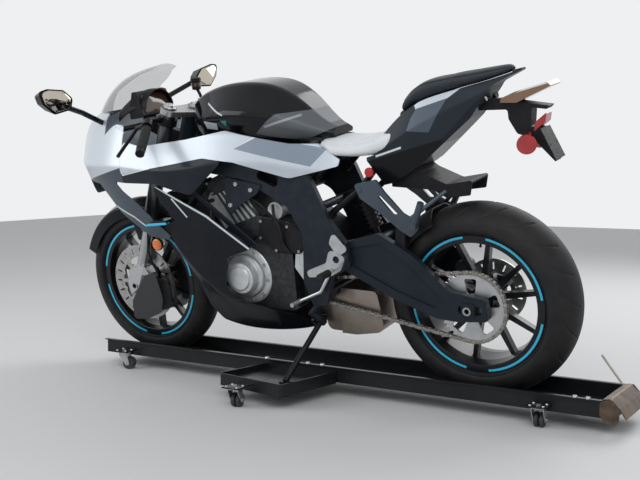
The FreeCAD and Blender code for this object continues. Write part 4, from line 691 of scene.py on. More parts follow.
@dataclass
class Workshop:
    """Makes objects from lattices and puts them on bodies of the frame.

    Attributes:
        shop: the paintshop.
        count: triangles made so far.
    """

    shop: Paintshop
    count: int = 0

    def make(self, name: str, lattice: Array, slot: str, body: Body, finish: str = "", wrap: str = "",
             caps: bool = False, place: Callable = bike,
             replaces: Sequence[str] = ()) -> bpy.types.Object:
        """Turn one lattice, or a stack of like ones, into an object that rides on a body.

        Args:
            name: the piece's name.
            lattice: points (rows, columns, 3) or (copies, rows, columns, 3) in millimetres.
            slot: the record's material slot.
            body: the body that it rides on.
            finish: a finish other than the slot's own.
            wrap: "r" and "c" name the directions that close on themselves.
            caps: fill the first and the last row.
            place: turns the points into row metres.
            replaces: CAD nodes that it stands for.

        Returns:
            The object.
        """
        stack = lattice if lattice.ndim == 4 else lattice[None]
        copies, rows, cols = stack.shape[:3]
        r = np.arange(rows if "r" in wrap else rows - 1)
        c = np.arange(cols if "c" in wrap else cols - 1)
        i, j = (grid.ravel() for grid in np.meshgrid(r, c, indexing="ij"))
        i2, j2 = (i + 1) % rows, (j + 1) % cols
        quads = np.stack([i * cols + j, i2 * cols + j, i2 * cols + j2, i * cols + j2], -1)
        shift = np.arange(copies)[:, None, None] * rows * cols
        faces = (quads[None] + shift).reshape(-1, 4).tolist()
        if caps:
            ends = np.stack([np.arange(cols)[::-1], np.arange(cols) + (rows - 1) * cols])
            faces += (ends[None] + shift).reshape(-1, cols).tolist()
        mesh = bpy.data.meshes.new(name)
        mesh.from_pydata(place(stack.reshape(-1, 3)).tolist(), [], faces)
        work = bmesh.new()
        work.from_mesh(mesh)
        bmesh.ops.remove_doubles(work, verts=work.verts, dist=1e-6)
        bmesh.ops.recalc_face_normals(work, faces=work.faces)
        work.to_mesh(mesh)
        work.free()
        mesh.polygons.foreach_set("use_smooth", np.ones(len(mesh.polygons), bool))
        mesh.set_sharp_from_angle(angle=SHARP_ANGLE)
        obj = bpy.data.objects.new(name, mesh)
        bpy.context.collection.objects.link(obj)
        obj.data.materials.append(self.shop.of(finish or slot))
        if replaces:
            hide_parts(*replaces)
        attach(obj, body.value)
        triangles = sum(len(polygon.vertices) - 2 for polygon in mesh.polygons)
        self.count += triangles
        LOG.info("%s: %d triangles on %s", name, triangles, body.value)
        return obj

    def bolts(self, name: str, spots: Sequence, axis: Sequence, radius: float, slot: str, body: Body,
              place: Callable = bike, rise: float = 0.7) -> bpy.types.Object:
        """Set a row of domed bolt heads with a hollow six-sided drive.

        Args:
            name: the piece's name.
            spots: where each head sits.
            axis: the direction they face.
            radius: head radius in millimetres.
            slot: the record's material slot.
            body: the body that they ride on.
            place: turns the points into row metres.
            rise: head height as a share of the radius.

        Returns:
            The object.
        """
        up = radius * rise
        head = lathe([(-1, 0), (-1, radius), (up * 0.6, radius), (up, radius * 0.8), (up, radius * 0.5),
                      (up * 0.3, radius * 0.5), (up * 0.3, 0)], 18)
        stack = np.stack([aim(head, spot, axis) for spot in spots])
        return self.make(name, stack, slot, body, wrap="r", place=place)


def ring_spots(centre: Sequence, radius: float, count: int, first: float = 0.0) -> Array:
    """Space points evenly round a circle that faces Y.

    Args:
        centre: the circle's centre.
        radius: its radius.
        count: how many points.
        first: angle of the first one in degrees.

    Returns:
        The points (count, 3).
    """
    angle = np.radians(first + 360.0 * np.arange(count) / count)
    ring = np.stack([radius * np.cos(angle), 0 * angle, radius * np.sin(angle)], -1)
    return np.asarray(centre, float) + ring


@dataclass
class Tyre:
    """A road tyre: an elliptical crown with curved slits, ribbed sidewalls and beads in the rim.

    Attributes:
        name: the CAD node that it stands for.
        axle: wheel centre.
        body: the wheel it rides on.
        half: half its width.
        crown: outer radius.
        shoulder: radius where it is widest.
        rim_half: half the rim's width.
        slits: slits round each side.
        bead: the rim seat's radius.
        flange: radius of the rim's edge.
        depth: how deep the slits are.
        slit_half: half a slit's width.
        slit_ends: where a slit starts and ends, as shares of half the crown.
        curl: how many pitches a slit would run forward by the crown's edge.
    """

    name: str
    axle: Array
    body: Body
    half: float
    crown: float
    shoulder: float
    rim_half: float
    slits: int = 20
    bead: float = 216.0
    flange: float = 229.0
    depth: float = 3.0
    slit_half: float = 3.4
    slit_ends: tuple[float, float] = (0.10, 0.80)
    curl: float = 1.488

    def section(self) -> tuple[Array, Array]:
        """Work out the closed section.

        The crown is y = half sin t, r = shoulder + rise cos t; straight walls lead down from
        it to the beads.

        Returns:
            Rows of (y, radius), and each row's place across the crown from -1 to 1, or 2 on
            the walls.
        """
        t = np.radians(np.linspace(-90, 90, 61))
        crown = np.stack([self.half * np.sin(t),
                          self.shoulder + (self.crown - self.shoulder) * np.cos(t)], -1)
        inner = self.rim_half - 4.5
        wall = np.array([(self.half - 0.6, self.shoulder - 5), (self.half - 2.2, self.shoulder - 9),
                         (self.half - 2.6, self.shoulder - 10),
                         ((self.half + inner) / 2 + 2, self.flange + 6),
                         (self.rim_half + 1, self.flange + 2), (inner, self.flange - 1),
                         (inner, self.bead + 1)])
        rows = np.vstack([crown, wall, (wall * (-1, 1))[::-1]])
        tread = np.concatenate([t / t[-1], np.full(2 * len(wall), 2.0)])
        return rows, tread

    def lattice(self, steps: int = 720) -> Array:
        """Turn the section round the axle and sink curved slits into the crown.

        The depth is a fourth-power bell of the distance to a slit's middle line, which runs
        forward as the square of the distance from the tyre's middle; the two sides are half
        a pitch apart.

        Args:
            steps: rows round the wheel.

        Returns:
            A lattice closed in both directions.
        """
        rows, tread = self.section()
        angle = np.linspace(0, 2 * np.pi, steps, endpoint=False)[:, None]
        pitch = 2 * np.pi / self.slits
        side = np.where(tread > 0, 0.5, 0.0)[None]
        bend = self.curl * tread[None] ** 2 * pitch
        phase = (angle / pitch + side - bend / pitch) % 1.0 - 0.5
        reach = np.abs(phase) * pitch * self.crown
        away = np.abs(tread[None])
        first, last = self.slit_ends
        span = np.clip((away - first) / 0.06, 0, 1) * np.clip((last - away) / 0.08, 0, 1)
        cut = self.depth * np.exp(-(reach / self.slit_half) ** 4) * span
        radius = rows[None, :, 1] - cut
        along = np.broadcast_to(rows[None, :, 0], radius.shape)
        return np.stack([radius * np.sin(angle), along, radius * np.cos(angle)], -1) + self.axle

    def build(self, w: Workshop) -> None:
        """Make the tyre and the thin ribs moulded on its walls.

        Args:
            w: the workshop that makes the pieces.
        """
        w.make(self.name + "_tread", self.lattice(), "tyre", self.body, wrap="rc",
               replaces=(self.name,))
        rib_r, rib_y = self.shoulder - 14, self.half - 4.4
        rib = lathe([(rib_y - 1.0, rib_r + 1.2), (rib_y + 0.9, rib_r + 0.5), (rib_y + 0.9, rib_r - 0.5),
                     (rib_y - 2.0, rib_r - 1.6)], 144) + self.axle
        w.make(self.name + "_wall_rib", both(rib), "tyre", self.body, wrap="rc")


@dataclass
class WheelTrim:
    """Thin parts of a wheel: the rim's coloured stripes, the disc's bobbins and the valve.

    Attributes:
        name: the wheel's name, which starts the pieces' names.
        axle: wheel centre.
        body: the wheel it rides on.
        rim_half: half the rim's width.
        stripe: inner and outer radius of a stripe.
        arcs: first and last angle of each stripe in degrees.
        disc_y: where the brake discs' outer faces stand.
        bobbin_r: radius of the circle of bobbins.
    """

    name: str
    axle: Array
    body: Body
    rim_half: float
    stripe: tuple[float, float] = (217.5, 225.0)
    arcs: tuple[tuple[float, float], ...] = ((8, 78), (98, 168), (188, 258), (278, 348))
    disc_y: tuple[float, ...] = ()
    bobbin_r: float = 104.0

    def build(self, w: Workshop) -> None:
        """Lay the stripe arcs on both flanges and set bobbins and valve.

        Args:
            w: the workshop that makes the pieces.
        """
        y = self.rim_half + 0.45
        low, high = self.stripe
        for index, (start, end) in enumerate(self.arcs):
            arc = lathe([(y - 1, low), (y, low), (y, high), (y - 1, high)], 60, start, end) + self.axle
            w.make(f"{self.name}_stripe_{index + 1}", both(arc), "rim_dark", self.body, "cyan_stripe",
                   wrap="c", caps=True)
        profile = [(0, 0), (0, 5.5), (6, 5.5), (8, 3.2), (26, 3.2), (27, 4.2), (34, 4.2), (35, 0)]
        stem = lathe(profile, 16)
        place = self.axle + np.array([0, 0, 205.0])
        w.make(self.name + "_valve", aim(stem, place, (0, 0.35, -1)), "rim_dark", self.body, wrap="r")
        for index, along in enumerate(self.disc_y):
            side = math.copysign(1.0, along)
            spots = ring_spots(self.axle + LEFT * along, self.bobbin_r, 10, 18)
            profile = [(0, 0), (0, 8.5), (1.6, 8.5), (2.2, 7.2), (2.2, 4.5), (1.0, 4.0), (1.0, 0)]
            cup = lathe(profile, 20)
            stack = np.stack([aim(cup, spot, LEFT * side) for spot in spots])
            w.make(f"{self.name}_bobbins_{index + 1}", stack, "axle_steel", self.body, wrap="r")


@dataclass
class Chain:
    """A roller chain: links along two arcs and two tangents, plates outside and inside in turn.

    Attributes:
        plate_height: height of a plate's ends.
        waist: how far its edges are drawn in between them.
        plate_thick: thickness of a plate.
        inner_at: distance of the inner plates from the chain's middle.
        outer_at: distance of the outer plates from it.
        roller_r: radius of the rollers.
    """

    plate_height: float = 14.6
    waist: float = 1.8
    plate_thick: float = 1.7
    inner_at: float = 4.6
    outer_at: float = 6.5
    roller_r: float = 5.0

    def loop(self) -> tuple[Array, Array]:
        """Find each pin's place and each link's angle round the two pitch circles.

        Returns:
            Pins (n, 2) as x and z, and angles in radians.
        """
        big, small = (CHAIN_PITCH / 2 / math.sin(math.pi / n) for n in (REAR_TEETH, DRIVE_TEETH))
        gap = (DRIVE - REAR_AXLE)[[0, 2]]
        far = np.linalg.norm(gap)
        slope = math.atan2(gap[1], gap[0])
        open_angle = math.acos((big - small) / far)
        run = math.sqrt(far ** 2 - (big - small) ** 2)
        arc_small, arc_big = 2 * open_angle, 2 * np.pi - 2 * open_angle
        length = 2 * run + arc_small * small + arc_big * big
        count = 2 * round(length / CHAIN_PITCH / 2)
        s = np.arange(count) / count * length
        top, cut = slope + open_angle, np.cumsum([run, arc_small * small, run])
        start = REAR_AXLE[[0, 2]] + big * np.array([math.cos(top), math.sin(top)])
        ahead = np.array([math.sin(top), -math.cos(top)])
        low = slope - open_angle
        first = start + s[:, None] * ahead
        turn = top - (s - cut[0]) / small
        round_small = DRIVE[[0, 2]] + small * np.stack([np.cos(turn), np.sin(turn)], -1)
        leave = DRIVE[[0, 2]] + small * np.array([math.cos(low), math.sin(low)])
        goal = REAR_AXLE[[0, 2]] + big * np.array([math.cos(low), math.sin(low)])
        back = (goal - leave) / np.linalg.norm(goal - leave)
        third = leave + (s - cut[1])[:, None] * back
        turn = low - (s - cut[2]) / big
        round_big = REAR_AXLE[[0, 2]] + big * np.stack([np.cos(turn), np.sin(turn)], -1)
        where = [(s < c)[:, None] for c in cut]
        pins = np.where(where[0], first, np.where(where[1], round_small,
                                                  np.where(where[2], third, round_big)))
        step = np.roll(pins, -1, 0) - pins
        return pins, np.arctan2(step[:, 1], step[:, 0])

    def plates(self, pins: Array, angles: Array, offset: float) -> Array:
        """Place waisted plates on the links, on both sides of the chain's middle.

        Args:
            pins: first pin of each link, as x and z.
            angles: the links' angles in radians.
            offset: distance from the chain's middle.

        Returns:
            A lattice (plates, 4, edge, 3).
        """
        t = np.linspace(0, 2 * np.pi, 18, endpoint=False)
        half = self.plate_height / 2
        x = (CHAIN_PITCH / 2 + half) * np.cos(t)
        narrowing = self.waist * np.sin(t) * np.cos(t * 2).clip(-1, 0)
        z = half * np.sign(np.sin(t)) * np.abs(np.sin(t)) ** 0.55 + narrowing
        edge = np.stack([x, z], -1)
        thick = self.plate_thick / 2
        levels = [(edge * 0.94, -thick), (edge, -thick * 0.4), (edge, thick * 0.4),
                  (edge * 0.94, thick)]
        plate = np.stack([np.stack([e[:, 0], np.full(len(e), y), e[:, 1]], -1) for e, y in levels])
        middle = pins + CHAIN_PITCH / 2 * np.stack([np.cos(angles), np.sin(angles)], -1)
        c, s = np.cos(angles)[:, None, None], np.sin(angles)[:, None, None]
        sides = []
        for side in (offset, -offset):
            x = plate[None, ..., 0] * c - plate[None, ..., 2] * s + middle[:, 0, None, None]
            z = plate[None, ..., 0] * s + plate[None, ..., 2] * c + middle[:, 1, None, None]
            sides.append(np.stack([x, plate[None, ..., 1] + 0 * x + CHAIN_Y + side, z], -1))
        return np.concatenate(sides)

    def build(self, w: Workshop) -> None:
        """Make the plates, rollers and pins.

        Args:
            w: the workshop that makes the pieces.
        """
        pins, angles = self.loop()
        rollers = lathe([(-3.6, 0), (-3.6, self.roller_r), (3.6, self.roller_r), (3.6, 0)], 12)
        rods = lathe([(-8.4, 0), (-8.4, 2.4), (8.4, 2.4), (8.4, 0)], 10)
        spots = np.stack([pins[:, 0], np.full(len(pins), CHAIN_Y), pins[:, 1]], -1)[:, None, None]
        w.make("chain_outer_plates", self.plates(pins[::2], angles[::2], self.outer_at), "chain_steel",
               Body.CHASSIS, wrap="c", caps=True, replaces=("chain",))
        w.make("chain_inner_plates", self.plates(pins[1::2], angles[1::2], self.inner_at),
               "chain_steel", Body.CHASSIS, wrap="c", caps=True, replaces=("chain",))
        w.make("chain_rollers", rollers[None] + spots, "chain_steel", Body.CHASSIS, wrap="r",
               replaces=("chain",))
        w.make("chain_pins", rods[None] + spots, "chain_steel", Body.CHASSIS, wrap="r",
               replaces=("chain",))


RIDER_SEAT = ((527, 801, 857, 102), (440, 797, 851, 132), (350, 797, 855, 144), (270, 807, 877, 132),
              (227, 823, 897, 114))
PASSENGER_SEAT = ((211, 927, 965, 94), (150, 963, 1019, 100), (60, 991, 1039, 92),
                  (-40, 1013, 1049, 70), (-139, 1039, 1061, 33))


@dataclass
class Cushion:
    """A padded seat: rounded-square sections along X whose top swells between its seams.

    Attributes:
        node: the CAD node that it stands for.
        slot: its cover.
        stations: x, bottom z, top z and half width of each section.
        swell: how far the panel rises between the piping lines.
        seams: positions along the seat, as shares, of the cross seams.
        fall: how far the top falls to its sides.
        seam_depth: how far a seam is drawn in.
        seam_half: half width of a cross seam.
        line_at: where the lengthways seams run, as a share of the half width.
        line_half: half width of a lengthways seam.
    """

    node: str
    slot: str
    stations: tuple[tuple[float, float, float, float], ...]
    swell: float = 4.0
    seams: tuple[float, ...] = (0.5,)
    fall: float = 7.0
    seam_depth: float = 2.4
    seam_half: float = 2.6
    line_at: float = 0.74
    line_half: float = 2.2

    def lattice(self, rows: int = 150, cols: int = 160) -> Array:
        """Loft the sections: y = half cx, z = middle + height sz, with cx and sz a squircle's.

        The top is drawn in along each seam by a narrow bell and swells between them.

        Args:
            rows: sections along the seat.
            cols: points round each section.

        Returns:
            A lattice closed round each section.
        """
        x, low, high, half = spline(self.stations, rows).T[:, :, None]
        share = np.linspace(0, 1, rows)[:, None]
        close = np.sqrt(np.clip(1 - (2 * share - 1) ** 24, 0.02, 1))
        c, s = squircle(np.linspace(0, 2 * np.pi, cols, endpoint=False))
        c, s = c[None], s[None]
        across = c * half * close
        tall = (high - low) / 2 * close
        z = (high + low) / 2 + tall * s
        top = np.clip(s, 0, 1) ** 0.5
        z = z - self.fall * (c ** 2) * top
        pull = sum(np.exp(-((share - seam) * np.ptp(x) / self.seam_half) ** 2) for seam in self.seams)
        pull = pull + np.exp(-((np.abs(c) - self.line_at) * half / self.line_half) ** 2)
        z = z - self.seam_depth * np.clip(pull, 0, 1) * top
        puff = np.abs(np.sin(np.pi * share * (len(self.seams) + 1))) ** 0.5
        z = z + self.swell * (1 - c ** 2) * top * puff
        return np.stack([x + 0 * across, across, z], -1)

    def build(self, w: Workshop) -> None:
        """Make the cushion and run piping round its lower edge.

        Args:
            w: the workshop that makes the pieces.
        """
        shape = self.lattice()
        obj = w.make(self.node + "_cover", shape, self.slot, Body.CHASSIS, wrap="c", caps=True,
                     replaces=(self.node,))
        for index, column in enumerate((19, 61)):
            path = shape[4:-4, column] + UP * 0.6
            w.make(f"{self.node}_piping_{index + 1}", sweep(path[::3], 1.5, 8), self.slot, Body.CHASSIS,
                   wrap="c", caps=True)


@dataclass
class Cockpit:
    """Fork caps, stem nut, clock glass and hood, fluid cup and brake hoses.

    Attributes:
        fork_top: height of the fork caps.
        dash: x and z of the lower and the upper edge of the clock's face.
        dash_half: half its width.
        cup: centre of the fluid cup.
        cup_radius: its radius.
        cup_height: its height with the lid.
        hood_drop: how far the visor's arches would fall over a quarter turn.
        hood_thick: the visor's wall.
    """

    fork_top: float = 982.0
    dash: tuple[tuple[float, float], ...] = ((1275.5, 952), (1297.0, 1034))
    dash_half: float = 68.0
    cup: tuple[float, float, float] = (1226.0, -180.0, 1040.0)
    cup_radius: float = 19.0
    cup_height: float = 46.0
    hood_drop: float = 72.0
    hood_thick: float = 3.0

    def build(self, w: Workshop) -> None:
        """Make every cockpit piece.

        Args:
            w: the workshop that makes the pieces.
        """
        cap = lathe([(-1, 0), (-1, 23), (3, 23), (4.5, 21.5), (4.5, 15), (11, 15), (12.5, 13.5),
                     (12.5, 8), (9, 7), (9, 0)], 40)
        tops = np.stack([aim(cap, on_fork(self.fork_top, side), STEER_AXIS) for side in (1, -1)])
        w.make("fork_caps", tops, "pale_metal", Body.STEERING, wrap="r")
        nut = lathe([(-1, 0), (-1, 21), (5, 21), (6, 19), (6, 14), (12, 13), (12, 0)], 6)
        w.make("stem_nut", aim(nut, on_stem(974), STEER_AXIS), "pale_metal", Body.STEERING, wrap="r")
        self.clock(w)
        self.hood(w)
        self.reservoir(w)
        self.hoses(w)

    def clock(self, w: Workshop) -> None:
        """Lay a dark glass on the dash: a flat rounded rectangle, 1.5 mm proud of its rear face.

        Args:
            w: the workshop that makes the pieces.
        """
        low, high = (np.array([p[0], 0.0, p[1]]) for p in self.dash)
        up = (high - low) / np.linalg.norm(high - low)
        out = np.cross(up, LEFT)
        out *= -np.sign(out[0])
        tall = np.linalg.norm(high - low)
        edge = rounded([(-self.dash_half, 6, 12), (self.dash_half, 6, 12),
                        (self.dash_half, tall - 6, 16), (-self.dash_half, tall - 6, 16)], 7)
        rows = [low + e[:, :1] * LEFT + e[:, 1:] * up + out * lift
                for e, lift in ((edge, -1.0), (edge, 1.0), (edge * (0.97, 0.985) + (0, 0.6), 1.5))]
        w.make("dash_glass", np.stack(rows), "black_plastic", Body.CHASSIS, "smoked_glass", wrap="c",
               caps=True)

    def hood(self, w: Workshop) -> None:
        """Bend the visor over the clocks.

        Its arches are y = half sin t, z = top - hood_drop (1 - cos t), lofted along X.

        Args:
            w: the workshop that makes the pieces.
        """
        arches = [(1266, 1044, 80), (1310, 1044, 86), (1350, 1030, 90), (1396, 1002, 94)]
        x, top, half = spline(arches, 24).T
        t = np.radians(np.linspace(-84, 84, 49))[None]
        shell = [np.stack([x[:, None] + 0 * t, (half[:, None] - thick) * np.sin(t),
                           top[:, None] - thick - self.hood_drop * (1 - np.cos(t))], -1)
                 for thick in (0.0, self.hood_thick)]
        ring = np.concatenate([shell[0], shell[1][:, ::-1]], 1)
        w.make("dash_hood", ring, "black_plastic", Body.CHASSIS, wrap="c", caps=True)

    def reservoir(self, w: Workshop) -> None:
        """Turn the brake fluid cup, its lid and its window band and bend its arm.

        Args:
            w: the workshop that makes the pieces.
        """
        r, h = self.cup_radius, self.cup_height
        base = np.array(self.cup) - UP * h / 2
        rim = h * 0.72
        cup = lathe([(0, 0), (0, r - 5), (3, r - 2), (rim, r), (rim, 0)], 36)
        lid = lathe([(rim, 0), (rim, r + 1.5), (h - 3, r + 1.5), (h, r - 1), (h, 0)], 36)
        low, high = h * 0.28, h * 0.58
        band = lathe([(low, r - 1.5), (low, r - 0.2), (high, r + 0.6), (high, r - 1)], 36)
        w.make("reservoir_cup", aim(cup, base, UP), "black_plastic", Body.STEERING, wrap="r")
        w.make("reservoir_lid", aim(lid, base, UP), "black_plastic", Body.STEERING, wrap="r")
        w.make("reservoir_window", aim(band, base, UP), "black_plastic", Body.STEERING, "smoked_glass",
               wrap="rc")
        arm = sweep(spline([base + UP * 6, base + (-16, 2, -22), (1213, -196, 940)], 20), 6, 12)
        w.make("reservoir_arm", arm, "black_metal", Body.STEERING, wrap="c", caps=True)

    def hoses(self, w: Workshop) -> None:
        """Run the brake hoses down from the right lever to the two calipers.

        Args:
            w: the workshop that makes the pieces.
        """
        right = [(1200, -188, 918), (1212, -150, 880), (1232, -128, 800), (1262, -128, 660),
                 (1296, -126, 520), (1318, -112, 420), (1306, -92, 352)]
        left = [(1206, -160, 892), (1225, -120, 760), (1250, -40, 742), (1258, 60, 742),
                (1262, 124, 680), (1296, 127, 520), (1318, 112, 420), (1306, 92, 352)]
        for name, route in (("right", right), ("left", left)):
            w.make(f"brake_hose_{name}", sweep(spline(route, 90), 3.6, 10), "black_plastic",
                   Body.STEERING, wrap="c", caps=True)


class SideFittings:
    """Brackets, castings, bolts and hoses seen through the bodywork's openings."""

    def build(self, w: Workshop) -> None:
        """Make the plates, castings and bolts, then the water hose and the wire looms.

        Args:
            w: the workshop that makes the pieces.
        """
        self.plates(w)
        self.castings(w)
        self.bolts(w)
        hose = spline([(985, 120, 700), (1030, 128, 668), (1062, 130, 636), (1086, 138, 604)], 40)
        w.make("water_hose", sweep(hose, 14, 24), "black_plastic", Body.CHASSIS, wrap="c", caps=True)
        looms = (((700, 138, 640), (690, 152, 600), (668, 156, 560), (662, 152, 505), (640, 148, 470)),
                 ((800, 132, 690), (778, 146, 664), (742, 150, 640), (716, 146, 610), (700, 138, 590)))
        for index, route in enumerate(looms):
            w.make(f"wire_loom_{index + 1}", sweep(spline(route, 50), 5, 12), "black_plastic",
                   Body.CHASSIS, wrap="c", caps=True)

    def plates(self, w: Workshop) -> None:
        """Cut the triangular bracket and the slotted bar out of plate.

        Args:
            w: the workshop that makes the pieces.
        """
        bracket = slab([(870, 740, 6), (882, 640, 12), (862, 605, 8), (820, 640, 60), (745, 680, 30),
                        (717, 712, 8)], 160.5, 166, 1.2)
        w.make("side_bracket", bracket, "frame_grey", Body.CHASSIS, wrap="c", caps=True)
        bar = slab([(1015, 680, 6), (1000, 694, 6), (745, 500, 6), (758, 484, 6)], 176, 181, 1.0)
        w.make("lower_bar", bar, "frame_grey", Body.CHASSIS, wrap="c", caps=True)
        post = lathe([(0, 0), (0, 7), (46, 7), (46, 0)], 20)
        ends = np.stack([aim(post, spot, LEFT) for spot in ((960, 132, 650), (790, 132, 520))])
        w.make("bar_posts", ends, "black_metal", Body.CHASSIS, wrap="r")

    def castings(self, w: Workshop) -> None:
        """Raise the cast shapes on the engine's left side.

        Args:
            w: the workshop that makes the pieces.
        """
        sides = (
            ("gearbox_cover", [(560, 540, 12), (640, 575, 16), (760, 592, 14), (770, 520, 12),
                               (700, 470, 16), (600, 470, 14)], 136, 146, "black_plastic"),
            ("cylinder_side", [(760, 575, 10), (905, 520, 12), (985, 650, 12), (960, 700, 12),
                               (850, 718, 14)],
             120, 134, "cover_metal"),
            ("head_cover", [(866, 700, 10), (960, 664, 10), (985, 716, 12), (895, 752, 12)], 130, 139,
             "engine_metal"),
        )
        for name, rows, low, high, slot in sides:
            w.make(name, slab(rows, low, high, 3.0), slot, Body.CHASSIS, wrap="c", caps=True)
        ring = lathe([(136, 76), (141, 78), (143, 84), (143, 99), (140, 104), (136, 106)], 96)
        w.make("alternator_flange", ring + np.array([842, 0, 380]), "cover_metal", Body.CHASSIS,
               wrap="r")
        ribs = [[(768 + 22 * k, 600 - 9 * k, 3), (776 + 22 * k, 597 - 9 * k, 3),
                 (872 + 18 * k, 702 - 6 * k, 3), (864 + 18 * k, 706 - 6 * k, 3)] for k in range(5)]
        fins = np.stack([slab(rib, 132, 139, 1.0) for rib in ribs])
        w.make("cylinder_ribs", fins, "engine_metal", Body.CHASSIS, wrap="c", caps=True)

    def bolts(self, w: Workshop) -> None:
        """Set the bolt heads of the bracket, the covers and the frame.

        Args:
            w: the workshop that makes the pieces.
        """
        w.bolts("bracket_bolts", [(826, 166, 716), (765, 166, 696), (858, 166, 641)], LEFT, 8.5,
                "pale_metal", Body.CHASSIS)
        w.bolts("alternator_bolts", ring_spots((842, 143, 380), 92, 10, 8), LEFT, 6.0, "axle_steel",
                Body.CHASSIS)
        w.bolts("gearbox_bolts", [(566, 146, 532), (644, 146, 566), (752, 146, 582), (760, 146, 522),
                                  (698, 146, 480), (606, 146, 480)], LEFT, 6.0, "axle_steel",
                                  Body.CHASSIS)
        w.bolts("head_bolts", [(902, 139, 742), (974, 139, 712), (876, 139, 706), (954, 139, 676)],
                LEFT, 5.5, "axle_steel", Body.CHASSIS)


@dataclass
class Radiator:
    """Cooling core: zigzag fins between flat tubes, set in the radiator's front face.

    Attributes:
        centre: centre of the radiator.
        tilt: how far its top leans forward, in degrees.
        size: width and height of the core.
        rows: strips of fins.
        folds: folds of a strip across the core.
        fold_half: half the height of a fold.
        faces: how far the strips' two edges stand in front of the centre.
    """

    centre: tuple[float, float, float] = (1088.0, 0.0, 560.0)
    tilt: float = 24.0
    size: tuple[float, float] = (286.0, 236.0)
    rows: int = 22
    folds: int = 90
    fold_half: float = 3.6
    faces: tuple[float, float] = (15.2, 10.0)

    def build(self, w: Workshop) -> None:
        """Fold each fin strip: height follows a triangle wave across the core.

        Args:
            w: the workshop that makes the pieces.
        """
        wide, tall = self.size
        y = np.linspace(-wide / 2, wide / 2, self.folds * 2)
        zigzag = np.where(np.arange(len(y)) % 2 == 0, -self.fold_half, self.fold_half)
        levels = np.linspace(-tall / 2, tall / 2, self.rows)
        z = levels[:, None] + zigzag[None]
        front, back = (np.full(z.shape, face) for face in self.faces)
        across = np.broadcast_to(y, z.shape)
        strips = np.stack([np.stack([front, across, z], -1), np.stack([back, across, z], -1)], 1)
        c, s = math.cos(math.radians(self.tilt)), math.sin(math.radians(self.tilt))
        turned = np.stack([strips[..., 0] * c + strips[..., 2] * s, strips[..., 1],
                           -strips[..., 0] * s + strips[..., 2] * c], -1) + np.array(self.centre)
        w.make("radiator_fins", turned, "radiator_black", Body.CHASSIS)


